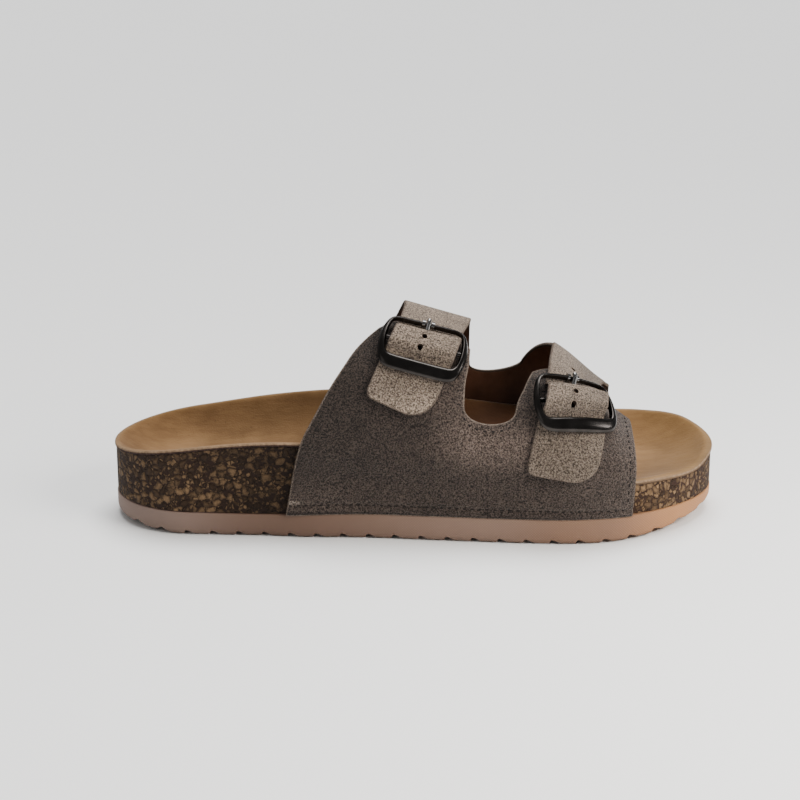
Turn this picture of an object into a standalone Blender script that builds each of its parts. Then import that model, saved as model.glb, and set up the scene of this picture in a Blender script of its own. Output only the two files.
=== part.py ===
"""Right-foot platform sandal: rippled outsole, cork midsole, suede footbed, two-strap upper, two pin buckles.

The toe points along +X, the outer side of the foot faces -Y and the sole stands on z = 0.
Sizes are millimetres and become metres where the meshes are made. Distances "at" run from the heel.
"""

import math
from bisect import bisect_right
from collections import namedtuple
from functools import lru_cache

import bmesh
import bpy
from mathutils import Matrix, Vector

MM = 0.001
GAP = 0.3  # clearance between neighbouring pieces
MERGE = 0.01
OUTER, INNER = -1, 1  # the two sides of the foot

# Sole: overall size and the round ends of its outline
LENGTH = 256
HEEL_REACH = 34
HEEL_TIP_Y = 0
TOE_REACH = {OUTER: 74, INNER: 44}
TOE_POWER = {OUTER: 2.1, INNER: 2.3}
TOE_TIP_Y = 9
END_LENGTH = 20  # the stations lie closer together over this length at heel and toe
END_STEPS = 7

# One row for each section of the sole. outer and inner are half breadths, floor lifts the tread,
# wedge is the outsole's top, bed the footbed's middle, and the rims its two edges.
SoleSection = namedtuple("SoleSection", "at outer inner floor wedge bed rim_outer rim_inner")
SOLE = (
    SoleSection(0, 33, 31, 2.0, 10.3, 23.4, 31.6, 31.6),
    SoleSection(32, 34.6, 31, 0.0, 10.0, 23.4, 37.4, 36.4),
    SoleSection(70, 36.5, 30, 0.0, 9.9, 24.4, 40.8, 42.3),
    SoleSection(105, 36.8, 28, 0.0, 10.8, 25.9, 38.6, 44.8),
    SoleSection(140, 40.3, 32, 0.0, 10.9, 24.4, 33.2, 40.4),
    SoleSection(175, 43.6, 41, 0.0, 10.9, 21.4, 27.8, 33.4),
    SoleSection(205, 45.0, 46, 0.0, 11.0, 19.4, 25.5, 30.0),
    SoleSection(230, 44.5, 47, 1.4, 10.8, 19.0, 24.8, 30.0),
    SoleSection(246, 41.9, 46.4, 3.6, 10.4, 19.5, 24.2, 30.4),
    SoleSection(256, 40, 46, 5.2, 10.4, 20.0, 28.0, 28.0),
)

# Outsole: the ledge under the upper, the round lower edge and the rippled tread
LEDGE = 2.0
LEDGE_ENDS = (60, 90, 205, 235)
LOWER_EDGE = 3.0
LOWER_EDGE_CORNER = 0.3  # share of the lower edge that its middle point stands off at
RIPPLE_PITCH = 10.8
RIPPLE_DEPTH = 1.6
RIPPLE_LAND = (0.45, 0.9)  # the flat part of each ripple, as shares of the pitch

# Footbed: the liner's thickness, the width of its level rim and the bar under the toes
LINER = 2.4
LINER_GAP = 0.45  # measured upright, so that it stays open on the steep sides of the heel cup
RIM_SHARE = 0.95
CUP_POWER = 3.6
TOE_BAR_AT = 214
TOE_BAR_HEIGHT = 1.6
TOE_BAR_LENGTH = 7
BED_STEP = 8
BED_COLUMNS = 12

# Last, the form under the upper: one row for each section, with the height and place of its crest
LastSection = namedtuple("LastSection", "at crest crest_y full")
LAST = (
    LastSection(60, 104.0, 2, 2.0),
    LastSection(100, 95.5, 4, 2.0),
    LastSection(125, 87.8, 5, 2.1),
    LastSection(152, 79.4, 6, 2.2),
    LastSection(186, 68.8, 7, 2.3),
    LastSection(212, 47.2, 8, 2.4),
    LastSection(235, 36.0, 9, 2.4),
)
RIM_CLEARANCE = 1.0  # how far over the footbed's rim the last starts to bend
ARC_STEPS = 24
SLOPE_AT = 1.0  # half steps that slopes of the last are taken over
SLOPE_SHARE = 0.012

# Outer panel: its edges at each share of the way round the last, from the outer sole edge
PANEL_WALL = 2.0
PanelRow = namedtuple("PanelRow", "share back gap_back gap_front front")
OUTER_PANEL = (
    PanelRow(0.00, 75.0, 140.0, 172.0, 216.0),
    PanelRow(0.14, 81.0, 144.0, 170.0, 217.0),
    PanelRow(0.21, 88.0, 146.5, 169.0, 216.8),
    PanelRow(0.26, 93.5, 147.0, 169.2, 216.6),
    PanelRow(0.305, 99.0, 147.5, 172.4, 216.6),
    PanelRow(0.345, 104.0, 148.8, 175.2, 216.4),
    PanelRow(0.405, 113.5, 149.8, 180.5, 215.0),
)
GAP_LEVEL = 0.26  # where the gap between the two legs ends in its round bottom
GAP_BOTTOM = 0.214
GAP_ROUND = 0.7
BACK_LEG_TOP = (0.402, 0.395)
FRONT_LEG_TOP = (0.352, 0.348)
LEG_CROWN, LEG_CROWN_POWER = 0.036, 4
PANEL_SIDE_COLUMNS, PANEL_GAP_COLUMNS = 6, 8
PANEL_BASE_ROWS, PANEL_LEG_ROWS = 6, 6

# Straps: their centre lines on the last, from the free tab on the outer side to the inner panel.
# along is the distance from the buckle's centre bar.
STRAP_WALL = 1.9
StrapRow = namedtuple("StrapRow", "along at share width")
BACK_STRAP = (
    StrapRow(-28, 120.0, 0.233, 26.6),
    StrapRow(-12.5, 126.0, 0.31, 26.6),
    StrapRow(0, 130.4, 0.37, 25.8),
    StrapRow(15, 134.3, 0.448, 25.7),
    StrapRow(34.5, 137.0, 0.55, 28.3),
    StrapRow(50.5, 135.8, 0.635, 31.0),
    StrapRow(73, 131.5, 0.752, 42.0),
)
FRONT_STRAP = (
    StrapRow(-31, 186.4, 0.105, 26.6),
    StrapRow(-12.5, 189.8, 0.213, 26.6),
    StrapRow(0, 191.0, 0.288, 23.6),
    StrapRow(42.5, 196.6, 0.55, 27.0),
    StrapRow(57.5, 198.2, 0.645, 29.0),
    StrapRow(74, 194.8, 0.745, 40.0),
)
STRAPS = {"back": BACK_STRAP, "front": FRONT_STRAP}
FUSED_LIFTS = (0.9, 3.6)  # underside and top of the strap on the panel, its underside sunk into the wall
BULGE_LIFTS = (6.2, 8.1)  # underside and top of the strap over the centre bar
BULGE_TOP = (4.8, 8.3)  # along the strap, where the bulge falls towards the crest
BULGE_LOW = (-6.2, -2.4)  # and towards the tab
SETTLE = (12.0, 23.0)  # where the strap leaves the panel and comes down on the foot
HEELWARD, TOEWARD = -1, 1  # the two edges of a strap
TAB_ROUND = {HEELWARD: 3.0, TOEWARD: 10.0}
STRAP_COLUMNS = 6
CREST_ROWS, TAB_ROWS = 8, 3
BUCKLE_ROWS = (17, 12.5, 8.3, 7.2, 6.1, 4.8, 2.0, -2.4, -3.5, -4.4, -5.3, -6.2)
TIP_ROWS = (10.0, 6.5, 3.0, 1.2, 0.3, 0.0)  # from the tab's tip

# Inner panel: its foot on the sole and the round bottom between the straps
INNER_FOOT = PanelRow(1.0, 88.0, 140.0, 172.0, 216.0)
INNER_LEAN = 1.8
INNER_GAP_DIP = 0.026
INNER_GAP_COLUMNS, INNER_ROWS = 8, 6

# Strap holes, along each strap, and the slot that the prong comes up through
HOLE_RADIUS = 1.1
HOLES = {"back": (2.1, -2.9), "front": (23.5, 2.0, -3.4)}
HOLE_ACROSS = {"back": -0.8, "front": -1.6}
HOLE_REACH = 1.6  # how far a hole's cutter runs past the strap's faces
SLOT = (5.2, 7.9)
SLOT_HALF_WIDTH = 1.25
SLOT_LIFT = (2.3, 10.0)

# Buckles: a bowed ring round the strap, its centre bar, the loops that hold it and the prong.
# Each is turned on its strap, and flatter than the last under it.
BUCKLE_TURN = {"back": math.radians(8), "front": math.radians(15)}
BUCKLE_FLATNESS = 0.6
PLANE_REACH = (12.0, 9.0)  # across and along the strap, where the plane under a buckle is taken
TURN_ENDS = (-20.0, -9.0, 11.0, 23.0)  # along the strap, where its bends start and stop to follow the turn
RingOutline = namedtuple("RingOutline", "half_width bow top bottom squareness")
RING_OUTER = RingOutline(18.5, 0.17, 11.4, -14.4, 8.0)
RING_INNER = RingOutline(16.0, 0.1, 9.2, -7.4, 14.0)
RING_SECTION = ((0, 4.3), (0.15, 3.8), (0.85, 3.8), (1, 4.5), (0.75, 6.1), (0.2, 6.1))  # share, lift
RING_STEPS = 32
BAR_LIFT = 4.1
BAR_RADIUS = 0.9
BAR_REACH = 16.4
COLLAR_PLACES = (-1.9, 1.9)
COLLAR_HALF = 0.6
COLLAR_RADIUS = 1.5
COLLAR_ALONG, COLLAR_LIFT = 10.3, 5.0
EYE_RADII = (1.2, 1.8)
EYE_HALF_WIDTH = 1.2
PRONG_RADIUS = 0.65
# The prong's line, as places along the buckle with their lifts
PRONG = ((1.4, 4.2), (4.0, 4.1), (5.7, 4.15), (7.5, 5.6), (9.0, 6.95), (10.0, 7.25), (11.0, 7.25))
LOOP_RADIUS = 2.35
LOOP_BORE, BORE_MARGIN = 1.25, 1.0
LOOP_SPAN = (3.0, 12.6)
LOOP_ROOT = 1.0  # lift of the loop's two ends, inside the panel's wall
LOOP_STEPS, LOOP_COLUMNS = 6, 3
ROUND_STEPS = 10
BAR_STEPS = 10  # steps along a bar or its bore

Finish = namedtuple("Finish", "color roughness metallic")
SHARP_ANGLE = math.radians(40)
FINISHES = {
    "outsole": Finish((0.50, 0.40, 0.35), 0.7, 0),
    "cork": Finish((0.13, 0.085, 0.055), 0.9, 0),
    "footbed": Finish((0.43, 0.30, 0.17), 0.9, 0),
    "suede": Finish((0.17, 0.14, 0.12), 0.95, 0),
    "gunmetal": Finish((0.06, 0.06, 0.06), 0.25, 1),
}


def smooth(rows, column, place):
    """Value of one column of a table, on a smooth curve over the table's first column."""
    places = [row[0] for row in rows]
    values = [getattr(row, column) for row in rows]
    if place <= places[0]:
        return values[0]
    if place >= places[-1]:
        return values[-1]
    k = bisect_right(places, place) - 1

    def slope(i):
        low, high = max(i - 1, 0), min(i + 1, len(rows) - 1)
        return (values[high] - values[low]) / (places[high] - places[low])

    span = places[k + 1] - places[k]
    f = (place - places[k]) / span
    return (
        (1 + 2 * f) * (1 - f) ** 2 * values[k]
        + f * (1 - f) ** 2 * span * slope(k)
        + f * f * (3 - 2 * f) * values[k + 1]
        - f * f * (1 - f) * span * slope(k + 1)
    )


def ease(low, high, value):
    """Smooth step from 0 at low to 1 at high."""
    f = min(1, max(0, (value - low) / (high - low)))
    return f * f * (3 - 2 * f)


def mix(first, second, share):
    return first + (second - first) * share


def end_measure(at, side, margin=0):
    """(0 along the sole's length, rising to 1 at the very heel or toe; y of that end; roundness power)."""
    heel = 1 - (at + margin) / (HEEL_REACH + margin)
    if heel > 0:
        return min(1, heel), HEEL_TIP_Y, 2
    toe = 1 - (LENGTH + margin - at) / (TOE_REACH[side] + margin)
    return min(1, max(0, toe)), TOE_TIP_Y, TOE_POWER[side]


def edge_y(at, side, margin=0):
    """y of the sole's outline on one side, the outline grown by a margin."""
    half = smooth(SOLE, "outer" if side == OUTER else "inner", at) + margin
    near_end, tip_y, power = end_measure(at, side, margin)
    fill = max(0, 1 - near_end**power) ** (1 / power)
    return mix(tip_y, side * half, fill)


def bed_z(at, across):
    """Height of the footbed's top. across runs from -1 at the outer edge to 1 at the inner edge."""
    turn = ease(-1, 1, across)
    near_end = mix(end_measure(at, OUTER)[0], end_measure(at, INNER)[0], turn)
    r = math.sqrt(near_end**2 + across**2 * (1 - near_end**2))
    rim = mix(smooth(SOLE, "rim_outer", at), smooth(SOLE, "rim_inner", at), turn)
    cup = min(1, r / RIM_SHARE) ** CUP_POWER
    toe_bar = TOE_BAR_HEIGHT * math.exp(-(((at - TOE_BAR_AT) / TOE_BAR_LENGTH) ** 2)) * (1 - cup)
    return mix(smooth(SOLE, "bed", at), rim, cup) + toe_bar


def stations(step):
    """Distances from the heel that sections are taken at, closer together at both ends."""
    ends = [END_LENGTH * (k / END_STEPS) ** 2 for k in range(END_STEPS)]
    count = round((LENGTH - 2 * END_LENGTH) / step)
    middle = [mix(END_LENGTH, LENGTH - END_LENGTH, k / count) for k in range(count + 1)]
    return ends + middle + [LENGTH - at for at in reversed(ends)]


def tread_stations():
    """The sole's stations with those of each ripple's land and groove added."""
    places = set(stations(RIPPLE_PITCH))
    for k in range(int(LENGTH / RIPPLE_PITCH)):
        places.update((k + share) * RIPPLE_PITCH for share in (0, *RIPPLE_LAND))
    kept = [0]
    for at in sorted(places):
        if at - kept[-1] > 2 * GAP and LENGTH - at > GAP:
            kept.append(at)
    return kept + [LENGTH]


def ripple(at):
    """Height of the tread's groove: it falls to the land and rises steeply on the toe side."""
    phase = at / RIPPLE_PITCH % 1
    land_start, land_end = RIPPLE_LAND
    if phase < land_start:
        return RIPPLE_DEPTH * (1 - phase / land_start)
    return RIPPLE_DEPTH * max(0, (phase - land_end) / (1 - land_end))


def loft(rings, looped=False, capped=True):
    """Closed mesh through rings of points. A looped loft joins its last ring to its first."""
    bm = bmesh.new()
    loops = [[bm.verts.new(point) for point in ring] for ring in rings]
    pairs = list(zip(loops, loops[1:] + loops[:1]))
    for near, far in pairs if looped else pairs[:-1]:
        for i, corner in enumerate(near):
            j = (i + 1) % len(near)
            bm.faces.new((corner, near[j], far[j], far[i]))
    if capped and not looped:
        bm.faces.new(loops[0])
        bm.faces.new(loops[-1])
    bmesh.ops.remove_doubles(bm, verts=bm.verts, dist=MERGE)
    bmesh.ops.recalc_face_normals(bm, faces=bm.faces)
    bmesh.ops.triangulate(bm, faces=bm.faces)
    return bm


def outsole():
    """Rubber slab with a ledge under the upper, a round lower edge and ripples across its tread."""
    corner = LOWER_EDGE * LOWER_EDGE_CORNER
    levels = ((0, None), (0, LOWER_EDGE), (corner, corner), (LOWER_EDGE, 0))
    rings = []
    for at in tread_stations():
        ledge = LEDGE * ease(*LEDGE_ENDS[:2], at) * (1 - ease(*LEDGE_ENDS[2:], at))
        floor = max(0, smooth(SOLE, "floor", at))
        from_end = LOWER_EDGE - min(at, LENGTH - at, LOWER_EDGE)
        end_rise = LOWER_EDGE - math.sqrt(LOWER_EDGE**2 - from_end**2)
        sides = {}
        for side in (OUTER, INNER):
            sides[side] = []
            for inset, height in levels:
                z = smooth(SOLE, "wedge", at)
                if height is not None:
                    z = floor + max(height, end_rise, ripple(at))
                sides[side].append((at, edge_y(at, side, ledge - inset), z))
        rings.append(sides[OUTER] + sides[INNER][::-1])
    return loft(rings, capped=False)


def bed_row(at, sink):
    """Points across the footbed's top, outer to inner, sunk by a depth."""
    outer, inner = edge_y(at, OUTER), edge_y(at, INNER)
    row = []
    for k in range(BED_COLUMNS + 1):
        across = math.sin(math.pi * (k / BED_COLUMNS - 0.5))
        row.append((at, mix(outer, inner, (across + 1) / 2), bed_z(at, across) - sink))
    return row


def cork_midsole():
    """Cork block between the outsole and the footbed's liner."""
    rings = []
    for at in stations(BED_STEP):
        base = smooth(SOLE, "wedge", at) + GAP
        top = bed_row(at, LINER + LINER_GAP)
        foot = [(at, edge_y(at, side), base) for side in (INNER, OUTER)]
        rings.append(top + foot)
    return loft(rings, capped=False)


def footbed():
    """Moulded suede liner with a deep heel cup, an arch and a level rim."""
    rings = [bed_row(at, 0) + bed_row(at, LINER)[::-1] for at in stations(BED_STEP)]
    return loft(rings, capped=False)


@lru_cache(maxsize=None)
def last_section(at):
    """Points of the last's section, from the outer sole edge to the inner one, and the lengths up to them."""
    crest, crest_y = smooth(LAST, "crest", at), smooth(LAST, "crest_y", at)
    bend = 2 / smooth(LAST, "full", at)
    base = smooth(SOLE, "wedge", at) + GAP
    points = []
    for side, rim_name in ((OUTER, "rim_outer"), (INNER, "rim_inner")):
        y_base = edge_y(at, side, GAP)
        rim = smooth(SOLE, rim_name, at) + RIM_CLEARANCE
        half = [(y_base, base), (y_base, (base + rim) / 2)]
        for i in range(ARC_STEPS + 1):
            a = math.pi / 2 * i / ARC_STEPS
            half.append((mix(crest_y, y_base, math.cos(a) ** bend), mix(rim, crest, math.sin(a) ** bend)))
        points += half if side == OUTER else half[-2::-1]
    lengths = [0.0]
    for (y0, z0), (y1, z1) in zip(points, points[1:]):
        lengths.append(lengths[-1] + math.hypot(y1 - y0, z1 - z0))
    return points, lengths


def last_point(at, share):
    """Point of the last: share runs from 0 at the outer sole edge to 1 at the inner sole edge."""
    points, lengths = last_section(round(at, 3))
    length = min(1, max(0, share)) * lengths[-1]
    k = min(bisect_right(lengths, length), len(points) - 1) - 1
    f = (length - lengths[k]) / (lengths[k + 1] - lengths[k])
    (y0, z0), (y1, z1) = points[k], points[k + 1]
    return Vector((at, mix(y0, y1, f), mix(z0, z1, f)))


def last_slopes(at, share):
    """How the last's point moves for each millimetre forwards and for each share round it."""
    ahead = last_point(at + SLOPE_AT, share) - last_point(at - SLOPE_AT, share)
    low, high = max(0, share - SLOPE_SHARE), min(1, share + SLOPE_SHARE)
    over = last_point(at, high) - last_point(at, low)
    return ahead / (2 * SLOPE_AT), over / (high - low)


def on_last(at, share, lift):
    """Point at a height off the last."""
    ahead, over = last_slopes(at, share)
    return last_point(at, share) + ahead.cross(over).normalized() * lift


def strap_place(strap, across, along):
    """(at, share) of a place on a strap, across it towards the toe and along it from its centre bar."""
    at, share = smooth(strap, "at", along), smooth(strap, "share", along)
    ahead, over = last_slopes(at, share)
    turn_at = smooth(strap, "at", along + SLOPE_AT) - smooth(strap, "at", along - SLOPE_AT)
    turn_share = smooth(strap, "share", along + SLOPE_AT) - smooth(strap, "share", along - SLOPE_AT)
    run = (ahead * turn_at + over * turn_share).normalized()
    side = run.cross(ahead.cross(over).normalized())
    square = ahead.dot(ahead) * over.dot(over) - ahead.dot(over) ** 2
    step_at = (side.dot(ahead) * over.dot(over) - side.dot(over) * ahead.dot(over)) / square
    step_share = (side.dot(over) * ahead.dot(ahead) - side.dot(ahead) * ahead.dot(over)) / square
    return at + across * step_at, share + across * step_share


def on_strap(strap, across, along, lift):
    return on_last(*strap_place(strap, across, along), lift)


@lru_cache(maxsize=None)
def buckle_plane(strap):
    """(Point on the last under the centre bar, directions across and along the strap and off the last)."""
    across, along = PLANE_REACH
    over = (on_strap(strap, 0, along, 0) - on_strap(strap, 0, -along, 0)).normalized()
    ahead = on_strap(strap, across, 0, 0) - on_strap(strap, -across, 0, 0)
    off = ahead.cross(over).normalized()
    return on_strap(strap, 0, 0, 0), over.cross(off), over, off


def flattened(strap, across, along, lift, share):
    """Point off a strap's place on the last, moved a share of the way to the flat plane under the buckle."""
    origin, ahead, over, off = buckle_plane(strap)
    flat = origin + ahead * across + over * along + off * lift
    return on_strap(strap, across, along, lift).lerp(flat, share)


def turned(name, across, along):
    """Place on a strap of a place on its buckle, across and along the frame."""
    c, s = math.cos(BUCKLE_TURN[name]), math.sin(BUCKLE_TURN[name])
    return across * c - along * s, across * s + along * c


def on_buckle(name, across, along, lift):
    return flattened(STRAPS[name], *turned(name, across, along), lift, BUCKLE_FLATNESS)


def strap_bulge(along):
    """1 over the centre bar, falling to 0 under the frame's top and bottom bars."""
    return ease(*BULGE_LOW, along) * (1 - ease(*BULGE_TOP, along))


def strap_lift(along, face):
    """Height off the last of the strap's underside, face 0, or of its top, face 1."""
    flat = mix(FUSED_LIFTS[face], STRAP_WALL * face, ease(*SETTLE, along))
    return mix(flat, BULGE_LIFTS[face], strap_bulge(along))


def strap_point(name, across, along, face):
    """Point of a strap's face, which bends along the buckle's bars and is as flat as the buckle over them."""
    follow = ease(*TURN_ENDS[:2], along) * (1 - ease(*TURN_ENDS[2:], along))
    skewed = along + across * math.tan(BUCKLE_TURN[name]) * follow
    flatness = BUCKLE_FLATNESS * strap_bulge(along)
    return flattened(STRAPS[name], across, skewed, strap_lift(along, face), flatness)


def strap_rows(strap):
    """Places along a strap that its rows lie at, from the inner panel to the tab's tip."""
    start, tip = strap[-1].along, strap[0].along
    crest = [mix(start, SETTLE[1], k / CREST_ROWS) for k in range(CREST_ROWS + 1)]
    tab = [mix(BUCKLE_ROWS[-1], tip + TIP_ROWS[0], k / TAB_ROWS) for k in range(1, TAB_ROWS)]
    return [*crest, *BUCKLE_ROWS, *tab, *(tip + step for step in TIP_ROWS)]


def strap_edge(strap, along, side):
    """Place across a strap of one of its edges, with the corner of the tab rounded."""
    radius = TAB_ROUND[side]
    into_tip = max(0, strap[0].along + radius - along) / radius
    return side * (smooth(strap, "width", along) / 2 - radius * (1 - math.sqrt(max(0, 1 - into_tip**2))))


def strap_across(strap, along, share):
    """Place across a strap at a share of its breadth."""
    return mix(strap_edge(strap, along, HEELWARD), strap_edge(strap, along, TOEWARD), share)


def sheet(columns, rows, cut, place):
    """Closed sheet of one wall: a grid without the cells that are cut, bent by place(column, row, face)."""
    bm = bmesh.new()
    bmesh.ops.create_grid(bm, x_segments=columns, y_segments=rows, size=0.5)
    for vert in bm.verts:
        vert.co = (round((vert.co.x + 0.5) * columns), round((vert.co.y + 0.5) * rows), 0)
    gone = [face for face in bm.faces if cut(*face.calc_center_median()[:2])]
    bmesh.ops.delete(bm, geom=gone, context="FACES")
    raised = bmesh.ops.extrude_face_region(bm, geom=bm.faces[:])["geom"]
    for item in raised:
        if isinstance(item, bmesh.types.BMVert):
            item.co.z = 1
    for vert in bm.verts:
        vert.co = place(round(vert.co.x), round(vert.co.y), round(vert.co.z))
    bmesh.ops.recalc_face_normals(bm, faces=bm.faces)
    bmesh.ops.triangulate(bm, faces=bm.faces)
    return bm


def outer_panel():
    """Panel on the outer side with a leg under each buckle and a round gap between the legs."""
    side, gap = PANEL_SIDE_COLUMNS, PANEL_GAP_COLUMNS
    base_rows, leg_rows = PANEL_BASE_ROWS, PANEL_LEG_ROWS

    def edge_share(column):
        """Where the column's base ends: at the gap's level, or on its round bottom."""
        if side <= column <= side + gap:
            turn = math.sin(math.pi * (column - side) / gap)
            return mix(GAP_LEVEL, GAP_BOTTOM, turn**GAP_ROUND)
        return GAP_LEVEL

    def column_at(column, share):
        if column <= side:
            ends = smooth(OUTER_PANEL, "back", share), smooth(OUTER_PANEL, "gap_back", share)
            return mix(*ends, column / side)
        if column >= side + gap:
            ends = smooth(OUTER_PANEL, "gap_front", share), smooth(OUTER_PANEL, "front", share)
            return mix(*ends, (column - side - gap) / side)
        ends = smooth(OUTER_PANEL, "gap_back", share), smooth(OUTER_PANEL, "gap_front", share)
        return mix(*ends, (1 - math.cos(math.pi * (column - side) / gap)) / 2)

    def place(column, row, face):
        if row <= base_rows:
            share = edge_share(column) * row / base_rows
        else:
            top, across = BACK_LEG_TOP, column / side
            if column >= side + gap:
                top, across = FRONT_LEG_TOP, (column - side - gap) / side
            end = mix(*top, across) + LEG_CROWN * (1 - (2 * across - 1) ** LEG_CROWN_POWER)
            share = mix(GAP_LEVEL, end, (row - base_rows) / leg_rows)
        return on_last(column_at(column, share), share, PANEL_WALL * face)

    def in_gap(column, row):
        return side < column < side + gap and row > base_rows

    return sheet(2 * side + gap, base_rows + leg_rows, in_gap, place)


def inner_panel_and_straps():
    """Panel on the inner side that runs on into the two straps, over the foot and through the buckles."""
    side, gap = STRAP_COLUMNS, INNER_GAP_COLUMNS
    tops = {name: strap_rows(strap) for name, strap in STRAPS.items()}

    def split(column):
        """(strap's name, share across it), or (None, share across the gap)."""
        if column <= side:
            return "back", column / side
        if column >= side + gap:
            return "front", (column - side - gap) / side
        return None, (column - side) / gap

    def strap_end(name, across):
        strap = STRAPS[name]
        start = strap[-1].along
        return strap_place(strap, strap_across(strap, start, across), start)

    def panel_top(column):
        name, across = split(column)
        if name:
            return strap_end(name, across)
        (at0, share0), (at1, share1) = strap_end("back", 1), strap_end("front", 0)
        turn = (1 - math.cos(math.pi * across)) / 2
        return mix(at0, at1, turn), mix(share0, share1, turn) + INNER_GAP_DIP * math.sin(math.pi * across)

    def panel_foot(column):
        foot = INNER_FOOT
        name, across = split(column)
        if name is None:
            return mix(foot.gap_back, foot.gap_front, (1 - math.cos(math.pi * across)) / 2)
        ends = (foot.back, foot.gap_back) if name == "back" else (foot.gap_front, foot.front)
        return mix(*ends, across)

    def place(column, row, face):
        if row < INNER_ROWS:
            top_at, top_share = panel_top(column)
            rise = row / INNER_ROWS
            at = mix(panel_foot(column), top_at, rise**INNER_LEAN)
            return on_last(at, mix(1, top_share, rise), STRAP_WALL * face)
        name, across = split(column)
        if name is None:
            return on_last(*panel_top(column), STRAP_WALL * face)
        along = tops[name][row - INNER_ROWS]
        return strap_point(name, strap_across(STRAPS[name], along, across), along, face)

    def in_gap(column, row):
        return side < column < side + gap and row > INNER_ROWS

    return sheet(2 * side + gap, INNER_ROWS + len(tops["back"]) - 1, in_gap, place)


def rod(name, places, radius, lift, along=0.0):
    """Round rod across a buckle through the given places, at a height off the last."""
    rings = []
    for across in places:
        ring = []
        for k in range(ROUND_STEPS):
            a = 2 * math.pi * k / ROUND_STEPS
            ring.append(on_buckle(name, across, along + radius * math.cos(a), lift + radius * math.sin(a)))
        rings.append(ring)
    return loft(rings)


def span(low, high, steps):
    return [mix(low, high, k / steps) for k in range(steps + 1)]


def buckle_loops(name):
    """The two rolled loops of the outer panel that hold a buckle's centre bar."""
    low, high = LOOP_SPAN
    half_turn = [math.pi * k / LOOP_STEPS for k in range(LOOP_STEPS + 1)]
    for side in (HEELWARD, TOEWARD):
        rings = []
        for across in span(side * low, side * high, LOOP_COLUMNS):
            over_bar = [(LOOP_RADIUS * math.cos(a), BAR_LIFT + LOOP_RADIUS * math.sin(a)) for a in half_turn]
            ring = [on_buckle(name, across, along, lift) for along, lift in over_bar]
            roots = [turned(name, across, along) for along in (-LOOP_RADIUS, LOOP_RADIUS)]
            rings.append(ring + [on_strap(STRAPS[name], *root, LOOP_ROOT) for root in roots])
        yield f"{name}_loop_{side}", loft(rings)


def loop_bore(name):
    reach = LOOP_SPAN[1] + BORE_MARGIN
    return rod(name, span(-reach, reach, BAR_STEPS), LOOP_BORE, BAR_LIFT)


def strap_holes(name):
    """Cutters for the round holes along a strap, by its middle."""
    strap, middle = STRAPS[name], HOLE_ACROSS[name]
    turns = [2 * math.pi * k / ROUND_STEPS for k in range(ROUND_STEPS)]
    rim = [(middle + HOLE_RADIUS * math.cos(a), HOLE_RADIUS * math.sin(a)) for a in turns]
    for along in HOLES[name]:
        lifts = (strap_lift(along, 0) - HOLE_REACH, strap_lift(along, 1) + HOLE_REACH)
        rings = [[on_strap(strap, across, along + step, lift) for across, step in rim] for lift in lifts]
        yield f"{name}_hole_{along}", loft(rings)


def prong_slot(name):
    """Cutter for the slot that the prong comes up through."""
    corners = [(-1, SLOT[0]), (1, SLOT[0]), (1, SLOT[1]), (-1, SLOT[1])]
    return loft(
        [
            [on_buckle(name, side * SLOT_HALF_WIDTH, along, lift) for side, along in corners]
            for lift in SLOT_LIFT
        ]
    )


def outline(ring, turn):
    """(across, along) at an angle on a rounded rectangle with bowed sides."""
    c, s = math.cos(turn), math.sin(turn)
    aside = math.copysign(abs(c) ** (2 / ring.squareness), c)
    rise = math.copysign(abs(s) ** (2 / ring.squareness), s)
    across = ring.half_width * (1 - ring.bow * rise**2) * aside
    return across, mix(ring.bottom, ring.top, (1 + rise) / 2)


def buckle_ring(name):
    """Frame of a buckle: thin at the top, broad at the bottom, with bowed sides."""
    rings = []
    for k in range(RING_STEPS):
        turn = 2 * math.pi * k / RING_STEPS
        near, far = outline(RING_INNER, turn), outline(RING_OUTER, turn)
        ring = []
        for share, lift in RING_SECTION:
            across, along = mix(near[0], far[0], share), mix(near[1], far[1], share)
            ring.append(on_buckle(name, across, along, lift))
        rings.append(ring)
    return loft(rings, looped=True)


def centre_bar(name):
    return rod(name, span(-BAR_REACH, BAR_REACH, BAR_STEPS), BAR_RADIUS, BAR_LIFT)


def collars(name):
    """The two small collars on the frame's top bar that the prong rests between."""
    for place in COLLAR_PLACES:
        ends = (place - COLLAR_HALF, place + COLLAR_HALF)
        yield f"{name}_collar_{place}", rod(name, ends, COLLAR_RADIUS, COLLAR_LIFT, COLLAR_ALONG)


def prong_eye(name):
    """Ring of the prong round the centre bar."""
    low, high = EYE_RADII
    corners = ((low, -1), (high, -1), (high, 1), (low, 1))
    rings = []
    for k in range(ROUND_STEPS):
        a = 2 * math.pi * k / ROUND_STEPS
        ring = []
        for radius, side in corners:
            along, lift = radius * math.cos(a), BAR_LIFT + radius * math.sin(a)
            ring.append(on_buckle(name, side * EYE_HALF_WIDTH, along, lift))
        rings.append(ring)
    return loft(rings, looped=True)


def prong_pin(name):
    """Pin of the prong, up through the strap and over the frame's top bar."""
    rings = []
    for along, lift in PRONG:
        ring = []
        for k in range(ROUND_STEPS):
            a = 2 * math.pi * k / ROUND_STEPS
            across = PRONG_RADIUS * math.cos(a)
            ring.append(on_buckle(name, across, along, lift + PRONG_RADIUS * math.sin(a)))
        rings.append(ring)
    return loft(rings)


def material(name):
    finish = FINISHES[name]
    made = bpy.data.materials.new(name)
    made.use_nodes = True
    shader = made.node_tree.nodes["Principled BSDF"]
    shader.inputs["Base Color"].default_value = (*finish.color, 1)
    shader.inputs["Roughness"].default_value = finish.roughness
    shader.inputs["Metallic"].default_value = finish.metallic
    return made


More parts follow.
